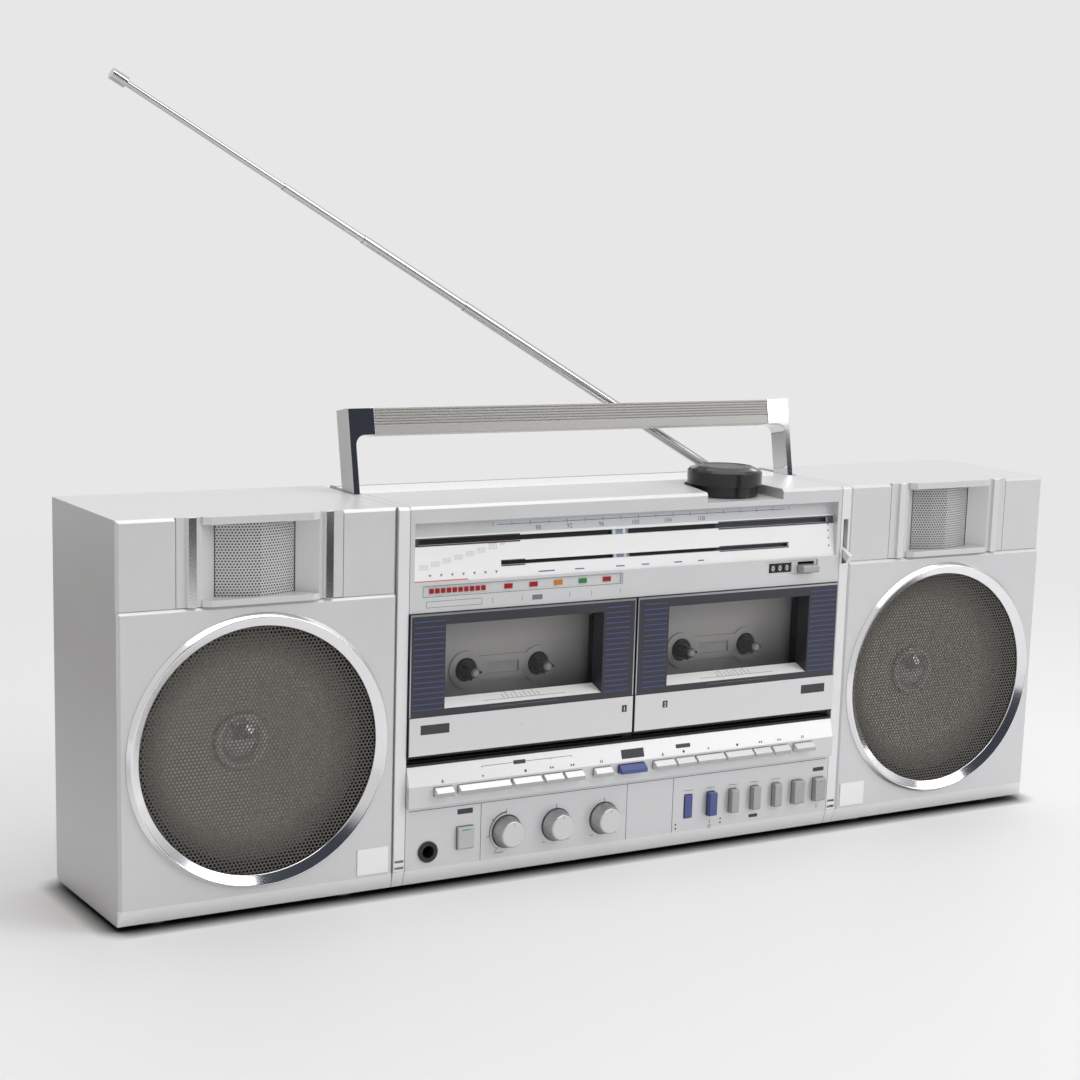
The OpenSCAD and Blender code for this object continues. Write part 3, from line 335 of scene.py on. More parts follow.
# %% Grooves of the grip, painted as lines of shade
PIVOT, LEAN = (0, 12.3 * MM, 180.5 * MM), math.radians(11)
GROOVE_1, GROOVE_STEP, GROOVES = 45.24, 0.7, 12
tree = handle.node_tree
from_pivot = vector(tree, "SUBTRACT", place_on(tree), PIVOT)[0]
along = vector(tree, "DOT_PRODUCT", from_pivot, (0, math.sin(LEAN), math.cos(LEAN)))["Value"]
past_first = maths(tree, "SUBTRACT", along, GROOVE_1 * MM)
turns = maths(tree, "DIVIDE", past_first, GROOVE_STEP * MM)
wave = maths(tree, "COSINE", maths(tree, "MULTIPLY", turns, 2 * math.pi), 0.0)
in_field = maths(tree, "COMPARE", turns, GROOVES / 2 - 0.5)
in_field.node.inputs[2].default_value = GROOVES / 2
# painted shade: darker lines stand for the shade in the grip's grooves
groove = maths(tree, "MULTIPLY", maths(tree, "GREATER_THAN", wave, 0.25), in_field)
groove_painted_shade = maths(tree, "MULTIPLY", groove, within(handle, x=(-GRIP_X, GRIP_X)))
repaint(handle, groove_painted_shade, (0.36, 0.35, 0.335), 0.4, 0.2)
dress(handle, "carrying_handle")

# %% [markdown]
# ## Doors, decks and windows
# The doors are dark plastic with a smoked pane. The deck plate behind the pane is lit from above, and
# little of that light gets through a dark pane here, so painted light makes the plate paler with height.

# %% Doors, decks and windows
DECK_PAINTED_LIGHT_SPAN = (95 * MM, 118 * MM)
deck_grey = finish("deck plate", (0.46, 0.455, 0.45), 0.42, cloud=0.06, grain=0.1)
tree = deck_grey.node_tree
# painted light: the deck plate grows paler with its height, as the light from above
deck_painted_light = ramp(tree, axes_of(tree)["Z"], *DECK_PAINTED_LIGHT_SPAN)
repaint(deck_grey, deck_painted_light, (0.95, 0.94, 0.93), 0.42, 0.0)
dress(
    finish("door plastic", (0.033, 0.034, 0.043), 0.32, cloud=0.1, grain=0.06, edge=0.4),
    "cassette_door",
)
dress(
    finish("smoked window", (0.03, 0.03, 0.033), 0.04, cloud=0.1, grain=0.0, Alpha=0.20),
    "door_window",
)
dress(deck_grey, "deck_plates")

# %% [markdown]
# ## Dial and lamps
# The dial is a pale printed sheet that leans back. The lamps are small coloured lenses on one strip,
# so one finish picks each lens's colour from its place along the strip.

# %% Dial and lamps
ORANGE_LAMP_X, GREEN_LAMP_X = (-49.5, -45.0), (-35.0, -30.0)
lamp_red = finish("lamp lenses", (0.34, 0.016, 0.018), 0.16, cloud=0.25, patch=1.5, grain=0.02)
touch_up(lamp_red, (0.55, 0.20, 0.02), 0.16, 0.0, x=ORANGE_LAMP_X)
touch_up(lamp_red, (0.03, 0.22, 0.07), 0.16, 0.0, x=GREEN_LAMP_X)
dress(finish("dial sheet", (0.88, 0.885, 0.89), 0.22, 0.05, cloud=0.02, grain=0.02), "dial_scale")
dress(finish("pointer", (0.30, 0.35, 0.50), 0.3, 0.2), "dial_pointer")
dress(lamp_red, "indicator_lamps")

# %% [markdown]
# ## Speakers
# Behind each grille sits a pale paper cone in a dark surround. The tweeter's housing has plated bars
# beside a flared mouth, and a dark shelf that its punched sheet stands on. Rings and strips of one
# finish follow the solids, so no solid has to be cut up.

# %% Speaker finishes
SIDES = (("left", -1), ("right", 1))
SPEAKER_X, RING_Z, TWEETER_Z = 208.8, 79.7, (153.8, 189.5)
SURROUND_R, PAPER_R, PAPER_SOFT = 55.5, 47.5, 6.5
BAR_X, BAR_HALF, SHELF_HALF = 34.4, 2.3, 20.5
for side, s in SIDES:
    mid = s * SPEAKER_X
    cone = finish("woofer paper " + side, (0.025, 0.024, 0.023), 0.6, cloud=0.2, patch=8, grain=0.4)
    repaint(cone, round_spot(cone, mid, RING_Z, SURROUND_R), (0.22, 0.21, 0.19), 0.6, 0.0)
    repaint(cone, round_spot(cone, mid, RING_Z, PAPER_R, PAPER_SOFT), (0.80, 0.76, 0.67), 0.55, 0.0)
    dress(cone, "woofer_" + side)
    horn = silver("tweeter housing " + side)
    for x in (mid - BAR_X, mid + BAR_X):
        touch_up(horn, (0.80, 0.80, 0.81), 0.08, 1.0, x=(x - BAR_HALF, x + BAR_HALF), y=(-46, -41.9))
    shelf_x = (mid - SHELF_HALF, mid + SHELF_HALF)
    touch_up(horn, (0.07, 0.07, 0.07), 0.6, 0.0, x=shelf_x, y=(-42.4, -20), z=TWEETER_Z)
    dress(horn, "tweeter_" + side)

# %% [markdown]
# ## Making pieces
# Every added piece is drawn in millimetres, brought to metres in its mesh, and told which body it
# rides on and which finish it carries. A print is a layer of ink with a real thickness.


# %% Pieces and meshes
def piece(name, mesh, mat, body):
    """Brings a mesh or draft from millimetres to metres and makes it a piece of a body."""
    if isinstance(mesh, bmesh.types.BMesh):
        mesh = to_mesh(name, mesh)
    mesh.transform(Matrix.Scale(MM, 4))
    mesh.materials.clear()
    mesh.materials.append(mat)
    obj = shown(name, mesh)
    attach(obj, body)
    print(name, len(mesh.polygons), "faces on", body)
    return obj


def to_mesh(name, bm):
    """A mesh with its faces turned outwards; the draft is used up."""
    bmesh.ops.recalc_face_normals(bm, faces=bm.faces)
    mesh = bpy.data.meshes.new(name)
    bm.to_mesh(mesh)
    bm.free()
    return mesh


# %% Faces to print on
FRONT_Y, DIAL_Z, DIAL_TOP, DIAL_LEAN = -44.0, 155.0, 184.2, 4.5


def plane(y):
    """A flat upright face: the point that rises from it at a place (x, z)."""
    return lambda x, z, rise: (x, y - rise, z)


def behind_dial(depth):
    """A face that leans like the dial sheet, at a depth behind its front."""
    foot, lean = FRONT_Y + 1 + depth, DIAL_LEAN / (DIAL_TOP - DIAL_Z)
    return lambda x, z, rise: (x, foot + lean * (z - DIAL_Z) - rise, z)


front_face, dial_face = plane(FRONT_Y), behind_dial(0)


# %% Ink and outlines
INK, INK_SINK = 0.06, 0.1


def ink(bm, outline, face=front_face, lift=INK, sink=INK_SINK):
    """Adds a thin closed layer, drawn as points (x, z), to a face."""
    near, far = [[bm.verts.new(face(x, z, rise)) for x, z in outline] for rise in (lift, -sink)]
    bm.faces.new(near)
    bm.faces.new(far[::-1])
    for side in zip(near, far, far[1:] + far[:1], near[1:] + near[:1]):
        bm.faces.new(side)


def bar(x0, x1, z0, z1):
    """The outline of an upright rectangle."""
    return [(x0, z0), (x1, z0), (x1, z1), (x0, z1)]


def stroke(x, half, z0, z1):
    """The outline of an upright bar about x."""
    return bar(x - half, x + half, z0, z1)


def disc(x, z, r, count=24):
    """The outline of a circle."""
    turn = 2 * math.pi / count
    return [(x + r * math.cos(turn * i), z + r * math.sin(turn * i)) for i in range(count)]


# %% Numbers
def plain(host):
    """The plain mesh that an object shows; the object goes."""
    deps = bpy.context.evaluated_depsgraph_get()
    mesh = bpy.data.meshes.new_from_object(host.evaluated_get(deps), depsgraph=deps)
    host.modifiers.clear()
    bpy.data.objects.remove(host)
    return mesh


def letters(bm, text, x, z, size, face=front_face, lift=INK):
    """Adds a number, centred on x and standing on z."""
    font = bpy.data.curves.new("letters", "FONT")
    font.body, font.size, font.align_x, font.resolution_u = text, size, "CENTER", 3
    font.extrude = (lift + INK_SINK) / 2
    mesh = plain(shown("letters", font))
    for v in mesh.vertices:
        v.co = face(x + v.co.x, z + v.co.y, v.co.z + (lift - INK_SINK) / 2)
    bm.from_mesh(mesh)
    bpy.data.meshes.remove(mesh)


# %% Printed pieces
CENTRE = "centre_unit"


def drawn(name, outlines, face=front_face, lift=INK, sink=INK_SINK):
    """A mesh of thin flat shapes on one face."""
    bm = bmesh.new()
    for outline in outlines:
        ink(bm, outline, face, lift, sink)
    return to_mesh(name, bm)


def printed(name, outlines, mat, *layer, slot="black_plastic", body=CENTRE, **settings):
    """Makes a piece of thin flat shapes; layer and settings are drawn()'s face, lift and sink."""
    return piece(name, drawn(name, outlines, *layer, **settings), mat, body)


# %% [markdown]
# ## Geometry Nodes
# What repeats is grown by a node tree with named inputs. A loop would work too, but a tree keeps the
# rule in one place: change the pitch and the whole grille follows.


# %% Helpers for node trees
def new_tree(name, **inputs):
    """A Geometry Nodes tree with named inputs, and what its inputs give."""
    tree = bpy.data.node_groups.new(name, "GeometryNodeTree")
    for label, kind in {"Geometry": "Geometry", **inputs, "Finish": "Material"}.items():
        tree.interface.new_socket(label, in_out="INPUT", socket_type="NodeSocket" + kind)
    tree.interface.new_socket("Geometry", in_out="OUTPUT", socket_type="NodeSocketGeometry")
    return tree, add(tree, "NodeGroupInput")


def geo(tree, kind, ins=(), **settings):
    """The outputs of a node that works on geometry."""
    return add(tree, "GeometryNode" + kind, ins, **settings)


def on_points(tree, points, model, **more):
    """A copy of a model on each point."""
    ins = {"Points": points, "Instance": model, **more}
    return geo(tree, "InstanceOnPoints", ins)[0]


def close_tree(tree, geometry, given):
    """Ends a tree: real meshes instead of instances, then the finish."""
    real = geo(tree, "RealizeInstances", {0: geometry})[0]
    coat = {"Geometry": real, "Material": given["Finish"]}
    add(tree, "NodeGroupOutput", {0: geo(tree, "SetMaterial", coat)[0]})
    print("tree for", tree.name, "with", len(tree.nodes), "nodes")


def grow(tree, base=None, **values):
    """Runs a tree once with its inputs set by identifier and returns a plain mesh."""
    host = shown(tree.name, base or bpy.data.meshes.new(tree.name))
    modifier = host.modifiers.new("grow", "NODES")
    modifier.node_group = tree
    for item in tree.interface.items_tree:
        if item.in_out == "INPUT" and item.name in values:
            modifier[item.identifier] = values[item.name]
    return plain(host)


# %% [markdown]
# ## Punched sheet
# A loudspeaker grille is a sheet punched with staggered round holes. Cutting thousands of holes with
# booleans is slow, and a see-through pattern has no thickness. A hexagon with a hole in it tiles the
# plane, so the tree sets one on each point of a staggered grid and gives the sheet a back.

# %% Points of the punched sheet: a staggered grid
punched, given = new_tree(
    "punched sheet",
    Pitch="Float", Hole="Float", Columns="Int", Rows="Int", Radius="Float", Thickness="Float",
)
calc = functools.partial(maths, punched)
pitch, columns, lines = given["Pitch"], given["Columns"], given["Rows"]
row_step = calc("MULTIPLY", pitch, math.sqrt(3) / 2)
width = calc("MULTIPLY", pitch, calc("SUBTRACT", columns, 1.0))
height = calc("MULTIPLY", row_step, calc("SUBTRACT", lines, 1.0))
spread = {"Size X": width, "Size Y": height, "Vertices X": columns, "Vertices Y": lines}
grid = geo(punched, "MeshGrid", spread)
here = geo(punched, "InputPosition")[0]
up_from_middle = add(punched, "ShaderNodeSeparateXYZ", {0: here})[1]
up_from_foot = calc("ADD", up_from_middle, calc("DIVIDE", height, 2.0))
row = calc("ROUND", calc("DIVIDE", up_from_foot, row_step), 0.0)
odd = calc("MODULO", row, 2.0)
half_pitch = calc("DIVIDE", pitch, 2.0)
stagger = calc("MULTIPLY", calc("SUBTRACT", odd, 0.5), half_pitch)
shift = add(punched, "ShaderNodeCombineXYZ", {0: stagger})[0]
staggered = geo(punched, "SetPosition", {"Geometry": grid[0], "Offset": shift})
too_far = {0: vector(punched, "LENGTH", here)["Value"], 1: given["Radius"]}
outside = add(punched, "FunctionNodeCompare", too_far, operation="GREATER_THAN")
cut = {"Geometry": staggered[0], "Selection": outside[0]}
kept = geo(punched, "DeleteGeometry", cut, domain="POINT")

# %% One cell of the punched sheet: a hexagon with a hole
cell_r = calc("DIVIDE", pitch, math.sqrt(3))
hexagon = geo(punched, "MeshCircle", {"Vertices": 6, "Radius": cell_r}, fill_type="NGON")
inner = {"Mesh": hexagon[0], "Offset Scale": 0.0, "Individual": True}
inset = geo(punched, "ExtrudeMesh", inner, mode="FACES")
to_hole = calc("DIVIDE", given["Hole"], cell_r)
smaller = {"Geometry": inset[0], "Selection": inset[1], "Scale": to_hole}
shrunk = geo(punched, "ScaleElements", smaller)
cut = {"Geometry": shrunk[0], "Selection": inset[1]}
cell = geo(punched, "DeleteGeometry", cut, domain="FACE")

# %% The punched sheet: a cell on each point, welded and given a back
on_a_corner = (0.0, 0.0, math.radians(30))
cells = on_points(punched, kept[0], cell[0], Rotation=on_a_corner)
joined = geo(punched, "RealizeInstances", {0: cells})[0]
welded = geo(punched, "MergeByDistance", {"Geometry": joined, "Distance": 0.02})[0]
lifted = {"Mesh": welded, "Offset Scale": given["Thickness"], "Individual": False}
skin = geo(punched, "ExtrudeMesh", lifted, mode="FACES")
under = geo(punched, "FlipFaces", {"Mesh": welded})[0]
both = geo(punched, "JoinGeometry")[0]
for part in (skin[0], under):
    punched.links.new(part, both.node.inputs[0])
sealed = geo(punched, "MergeByDistance", {"Geometry": both, "Distance": 0.005})[0]
close_tree(punched, sealed, given)

# %% [markdown]
# ## Woofer grilles
# Each grille is a dark punched disc held in a bright turned ring. The ring is a profile turned about
# the loudspeaker's axis, with more facets and softer corners than its solid. The bright dome in the
# middle of the cone is made in the same way.

# %% Profiles of the ring and the dome, as radius and depth
RING_PROFILE = [
    (60.2, 2.2), (60.2, 0.5), (60.4, 0.25), (60.69, 0.06), (64.35, -2.26), (64.6, -2.42), (64.85, -2.5),
    (65.1, -2.42), (65.28, -2.2), (66.72, -0.47), (66.9, -0.25), (67.0, 0.0), (61.6, 0.0), (61.6, 2.2),
]
DOME_R, DOME_RISE, DOME_STEPS = 10.4, 4.0, 10
DOME_EDGE = [(10.7, 4.4), (11.6, 4.5), (12.8, 4.1), (13.6, 4.3), (13.9, 4.9), (13.9, 6.6), (0.0, 6.6)]
dome_ball = (DOME_R**2 + DOME_RISE**2) / (2 * DOME_RISE)
dome_arc = [math.asin(DOME_R / dome_ball) * i / DOME_STEPS for i in range(DOME_STEPS + 1)]
dome_cap = [(dome_ball * math.sin(a), dome_ball * (1 - math.cos(a))) for a in dome_arc]
print("profiles of", len(RING_PROFILE), "and", len(dome_cap + DOME_EDGE), "points")


# %% Turned pieces
def turned(name, profile, middle, count=144):
    """A ring turned about an axis along y, from a closed profile of (radius, depth)."""
    bm = bmesh.new()
    x, y, z = middle
    loops = []
    for i in range(count):
        turn = 2 * math.pi * i / count
        c, s = math.cos(turn), math.sin(turn)
        loops.append([bm.verts.new((x + r * c, y + d, z + r * s)) for r, d in profile])
    for loop, after in zip(loops, loops[1:] + loops[:1]):
        for side in zip(loop, loop[1:] + loop[:1], after[1:] + after[:1], after):
            bm.faces.new(side)
    bmesh.ops.remove_doubles(bm, verts=bm.verts, dist=0.001)
    for face in bm.faces:
        face.smooth = True
    return to_mesh(name, bm)


# %% Woofer grilles
FACE_FRONT = Matrix.Rotation(math.pi / 2, 4, "X")
WOOFER_SHEET_Y, DOME_Y = FRONT_Y + 1.75, -26.2
WOOFER_SHEET = {"Pitch": 1.95, "Hole": 0.75, "Columns": 66, "Rows": 76, "Radius": 60.6, "Thickness": 0.35}
grille_dark = finish("grille metal", (0.115, 0.107, 0.097), 0.42, 0.5, cloud=0.12, patch=30, grain=0.1)
ring_plate = finish("ring plate", (0.86, 0.86, 0.87), 0.13, 1.0, cloud=0.02, patch=40, grain=0.02)
dome_film = finish("dome film", (0.86, 0.85, 0.83), 0.14, 0.6, cloud=0.06, patch=5, grain=0.02)
for side, s in SIDES:
    mid, body = s * SPEAKER_X, "speaker_" + side
    ring = turned("trim ring", RING_PROFILE, (mid, FRONT_Y, RING_Z))
    ring_piece = piece("woofer_ring_" + side, ring, ring_plate, body)
    sheet = grow(punched, Finish=grille_dark, **WOOFER_SHEET)
    sheet.transform(Matrix.Translation((mid, WOOFER_SHEET_Y, RING_Z)) @ FACE_FRONT)
    mesh_piece = piece("woofer_mesh_" + side, sheet, grille_dark, body)
    for made in (ring_piece, mesh_piece):
        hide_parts("woofer_grille_" + side)
    dome = turned("dome", dome_cap + DOME_EDGE, (mid, DOME_Y, RING_Z), 64)
    piece("woofer_dome_" + side, dome, dome_film, body)

# %% [markdown]
# ## Tweeter sheets
# The tweeter has the same kind of sheet, folded to a blunt ridge. The flat sheet is grown first and
# then wrapped over the ridge's outline, so that the holes follow the fold.

# %% The ridge's outline from above, as x and y
RIDGE = [(-20.0, -35.0), (-9.85, -38.9), (0.0, -41.0), (9.85, -38.9), (20.0, -35.0)]


def over_ridge(u):
    """The point (x, y) and the outward direction at a distance u along the ridge, from its middle."""
    lengths = [math.dist(a, b) for a, b in zip(RIDGE, RIDGE[1:])]
    rest = max(0.0, min(u + sum(lengths) / 2, sum(lengths)))
    for a, b, length in zip(RIDGE, RIDGE[1:], lengths):
        if rest <= length:
            along = Vector((b[0] - a[0], b[1] - a[1])).normalized()
            return Vector(a).lerp(Vector(b), rest / length), Vector((along.y, -along.x))
        rest -= length
    return Vector(RIDGE[-1]), Vector((0.0, -1.0))


# %% Tweeter sheets
TWEETER_SHEET = {"Pitch": 1.55, "Hole": 0.50, "Columns": 27, "Rows": 27, "Radius": 90.0, "Thickness": 0.3}
TWEETER_SHEET_Z, TWEETER_SHEET_LIFT = 171.65, 0.25
tweeter_metal = finish("tweeter sheet", (0.60, 0.597, 0.593), 0.38, 0.4, cloud=0.05, grain=0.1)
for side, s in SIDES:
    sheet = grow(punched, Finish=tweeter_metal, **TWEETER_SHEET)
    for v in sheet.vertices:
        spot, outward = over_ridge(v.co.x)
        spot = spot + outward * (TWEETER_SHEET_LIFT + v.co.z)
        v.co = (s * SPEAKER_X + spot.x, spot.y, TWEETER_SHEET_Z + v.co.y)
    piece("tweeter_sheet_" + side, sheet, tweeter_metal, "speaker_" + side)

# %% [markdown]
# ## Dial print
# The dial's sheet is printed: numbers along the top, blue marks, and a dotted meter on the left. The
# grey band behind the numbers is painted shade under the visor. An image texture would be quick, but
# ink drawn as thin layers stays sharp at any distance. Marks in equal steps come from a tree that sets
# bars along a line.

# %% Tree for bars in rows
rows, given = new_tree(
    "bars in rows", Count="Int", Step="Vector", Lines="Int", Rise="Vector", Bar="Vector"
)
line = geo(rows, "MeshLine", {"Count": given["Count"], "Offset": given["Step"]})
stack = geo(rows, "MeshLine", {"Count": given["Lines"], "Offset": given["Rise"]})
brick = geo(rows, "MeshCube", {"Size": given["Bar"]})
course = on_points(rows, line[0], brick[0])
whole = geo(rows, "RealizeInstances", {0: course})[0]
close_tree(rows, on_points(rows, stack[0], whole), given)


def bars(bm, start, step, count, size, rise=(0, 0, 0), lines=1, face=None):
    """Adds a row or stack of equal bars; face bends flat bars on to a leaning face."""
    mesh = grow(rows, Count=count, Step=step, Lines=lines, Rise=rise, Bar=size, Finish=None)
    mesh.transform(Matrix.Translation(start))
    if face:
        for v in mesh.vertices:
            v.co = face(v.co.x, v.co.z, -v.co.y)
    bm.from_mesh(mesh)
    bpy.data.meshes.remove(mesh)


# %% Inks
ink_dark = finish("dark ink", (0.045, 0.045, 0.05), 0.5, cloud=0.2, patch=3)
ink_grey = finish("grey ink", (0.17, 0.17, 0.19), 0.5, cloud=0.1, patch=3)
ink_blue = finish("blue ink", (0.10, 0.14, 0.36), 0.45, cloud=0.1, patch=3)
ink_red = finish("red ink", (0.58, 0.16, 0.16), 0.45, cloud=0.1, patch=3)
ink_pale = finish("pale ink", (0.50, 0.50, 0.52), 0.45, cloud=0.1, patch=3)
ink_white = finish("white ink", (0.80, 0.80, 0.80), 0.45, cloud=0.05, patch=3)
band_painted_shade = finish("number band", (0.64, 0.65, 0.66), 0.3, 0.2, cloud=0.04, grain=0.05)
slate = finish("slate", (0.085, 0.09, 0.115), 0.35, cloud=0.1)
print("finishes so far:", len(bpy.data.materials))

# %% Band of painted shade behind the numbers, and backing of the slots
DIAL_X, SLATE_X, BAND_Z, BACKING_Z = 129.1, 52.6, (176.9, 184.1), (157.0, 180.0)
band = [bar(-DIAL_X, DIAL_X, *BAND_Z)]
# painted shade: the grey band stands for the visor's shadow on the pale sheet
printed("dial_number_band", band, band_painted_shade, dial_face, lift=0.03, slot="dial_white")
slot_back = behind_dial(3.6)
for name, x0, x1, mat, lift in (
    ("dial_backing", -DIAL_X, SLATE_X, black_plastic, 0.2),
    ("dial_backing_end", SLATE_X, DIAL_X, slate, 0.3),
):
    printed(name, [bar(x0, x1, *BACKING_Z)], mat, slot_back, lift, sink=0.5)

# %% Wide ends of the slots
UPPER, LOWER, SLOT_X = (172.8, 175.5), (161.0, 163.0), 125.2
WIDE_LEFT, WIDE_RIGHT = 0.65, 0.75


def beside(x0, x1, slot, wide):
    """The margins above and below a slot, which make it look wider there."""
    low, high = slot
    return [bar(x0, x1, low - wide, low), bar(x0, x1, high, high + wide)]


left_ends = beside(-SLOT_X, -68.3, UPPER, WIDE_LEFT) + beside(-79.9, -66.0, LOWER, 0.55)
right_ends = beside(SLATE_X, SLOT_X, UPPER, WIDE_RIGHT) + beside(SLATE_X, 98.2, LOWER, 0.5)
right_ends.append(bar(SLOT_X, DIAL_X, UPPER[0] - WIDE_RIGHT, UPPER[1] + WIDE_RIGHT))
left_corner = [bar(-DIAL_X, -SLOT_X, UPPER[0] - WIDE_LEFT, UPPER[1] + WIDE_LEFT)]
printed("slot_ends_left", left_ends, ink_dark, dial_face)
printed("slot_ends_right", right_ends, slate, dial_face)
printed("slot_corner", left_corner, ink_dark, dial_face)

# %% Blue dial marks
FLAT = 2 * INK
BLUE_LINES = ((-58.6, -49.2), (-37.1, -31.6), (-12.5, -7.3), (3.3, 7.9), (23.7, 28.5), (38.6, 42.4))
bm = bmesh.new()
ink(bm, bar(-81, 97, 180.85, 181.15), dial_face)
bars(bm, (-83.4, 0, 181.3), (10.75, 0, 0), 18, (0.28, FLAT, 2.0), face=dial_face)
for x0, x1 in BLUE_LINES:
    ink(bm, bar(x0, x1, 156.5, 157.1), dial_face)
piece("dial_marks_blue", bm, ink_blue, CENTRE)

# %% Numbers and meter on the dial
NUMBERS = {"88": -57.5, "92": -39.1, "96": -20.1, "100": 0.5, "104": 20.6, "108": 41.8}
DOT, DOT_STEP, DOT_RISE = (0.5, FLAT, 0.5), (1.0, 0, 0), (0, 0, 0.9)
bm, pale = bmesh.new(), bmesh.new()
for text, x in NUMBERS.items():
    letters(bm, text, x, 177.5, 3.3, dial_face)
for i in range(7):
    start, x = (-125.2 + 6.5 * i, 0, 161.3 + 1.35 * i), -120 + 6.2 * i
    bars(pale, start, DOT_STEP, 5, DOT, DOT_RISE, 3, dial_face)
    ink(bm, [(x, 157.3), (x + 0.8, 158.6), (x - 0.8, 158.6)], dial_face)
for z in (160.2, 164.3, 168.4, 171.6):
    ink(bm, [(126.2, z), (125, z + 0.6), (125, z - 0.6)], dial_face)
piece("dial_marks_dark", bm, ink_grey, CENTRE)
piece("dial_marks_pale", pale, ink_pale, CENTRE)

# %% Red dial marks and the pointer's lines
bm = bmesh.new()
ink(bm, bar(-129, -99, 155.2, 155.7), dial_face)
bars(bm, (-86.2, 0, 172.0), DOT_STEP, 5, DOT, face=dial_face)
bars(bm, (-79.7, 0, 171.4), DOT_STEP, 3, DOT, DOT_RISE, 2, dial_face)
piece("dial_marks_red", bm, ink_red, CENTRE)
lines, on_pointer = [stroke(x, 0.8, 158.4, 178.3) for x in (-11.6, -5.4)], behind_dial(1.9)
on_body = {"body": "dial_pointer", "sink": 0.03}
printed("dial_pointer_lines", lines, ink_white, on_pointer, slot="pointer_grey", **on_body)

# %% [markdown]
# ## Tape counter and lamp strip
# The counter shows three drums through a small window. Round drums could be turned, but only a strip
# of each shows, so flat ones do, with the numbers on them. Thin frames and lines run round the lamps.

# %% Counter drums and numbers
DRUM_X, DRUM_W, DRUM_STEP, DRUM_LIFT = 86.0, 3.8, 4.6, 0.8
counter_floor = plane(FRONT_Y + 2)
bm, numbers = bmesh.new(), bmesh.new()
ink(bm, bar(84.9, 99.9, 147.3, 152.3), counter_floor, lift=0.25)
for i in range(3):
    x = DRUM_X + DRUM_STEP * i
    ink(bm, bar(x, x + DRUM_W, 147.6, 152.0), counter_floor, lift=DRUM_LIFT)
    letters(numbers, "0", x + DRUM_W / 2, 148.3, 4.0, plane(FRONT_Y + 2 - DRUM_LIFT))
piece("counter_drums", bm, black_gloss, CENTRE)
piece("counter_numbers", numbers, ink_white, CENTRE)


# %% Lines of the lamp strip
def frame_lines(x0, x1, z0, z1, w):
    """The four thin lines of a frame."""
    return [stroke(x, w / 2, z0, z1) for x in (x0, x1)] + [
        bar(x0, x1, z - w / 2, z + w / 2) for z in (z0, z1)
    ]


lines = frame_lines(-122.5, -91.5, 142.6, 145.6, 0.22) + frame_lines(-124.4, -9.0, 147.9, 153.3, 0.3)
lines += [stroke(x, 0.1, 142.8, 145.4) for x in (-85.5, -68.5, -56.8, -40.6, -27.6, -10.2)]
lines.append(bar(-62.6, -56.8, 142.8, 145.3))
printed("lamp_strip_lines", lines, ink_grey, slot="silver_paint")

# %% [markdown]
# ## Cassette doors
# Each door carries a plain metal trim along its foot, ribbed blue stripes beside the window, a painted
# highlight along its top and side edges, and a white sloping ledge in front of the pane. The solids
# could be cut for them, but thin layers do, and they tip out with the door that they ride on.

# %% Finishes and places of the doors
DOOR_X, DOOR_Y = 66.0, FRONT_Y - 1
LEDGE_FRONT, LEDGE_BACK, MARK_LIFT = (-44.9, 91.6), (-35.55, 94.95), 0.19
brushed = finish(
    "brushed trim", (0.70, 0.70, 0.71), 0.30, 0.35, cloud=0.02, grain=0.15, speck=0.25, edge=0.25
)
stripe_blue = finish("stripe blue", (0.052, 0.068, 0.20), 0.38, cloud=0.08, edge=0.2)
edge_painted_highlight = finish("bright door edge", (0.45, 0.46, 0.50), 0.12, 0.6)
ledge_white = finish("window ledge", (0.88, 0.88, 0.88), 0.22, 0.0, cloud=0.02)
door_face = plane(DOOR_Y)


# %% Trim, stripes and painted edge highlight of a door
def door_front(number, s, body):
    """Makes what lies flat on a door's face."""
    mid = s * DOOR_X
    trim = [bar(mid - 65.2, mid + 65.2, 69.0, 88.1)]
    printed("door_trim_%d" % number, trim, brushed, door_face, 0.4, body=body, slot="silver_paint")
    bm = bmesh.new()
    for x0, x1 in ((46.5, 63.7), (-61.7, -47.1)):
        foot = (mid + s * (x0 + x1) / 2, DOOR_Y, 92.0)
        bars(bm, foot, (0, 0, 2.75), 17, (x1 - x0, 0.5, 0.65))
    piece("door_stripes_%d" % number, bm, stripe_blue, body)
    # painted highlight: thin pale strips along the door's top and side edges
    bm = bmesh.new()
    ink(bm, bar(mid - 65.3, mid + 65.3, 138.7, 139.7), door_face, lift=0.15)
    for x in (mid - 65.0, mid + 65.0):
        ink(bm, stroke(x, 0.3, 88.6, 138.7), door_face, lift=0.12)
    piece("door_edge_%d" % number, bm, edge_painted_highlight, body)


# %% Ledge of a door's window
def ledge_face(x, t, rise):
    """The window's sloping ledge as a face; t runs from its front to its back."""
    (y0, z0), (y1, z1) = LEDGE_FRONT, LEDGE_BACK
    out = Vector((z0 - z1, y1 - y0)).normalized()
    return x, y0 + t * (y1 - y0) + out.x * rise, z0 + t * (z1 - z0) + out.y * rise


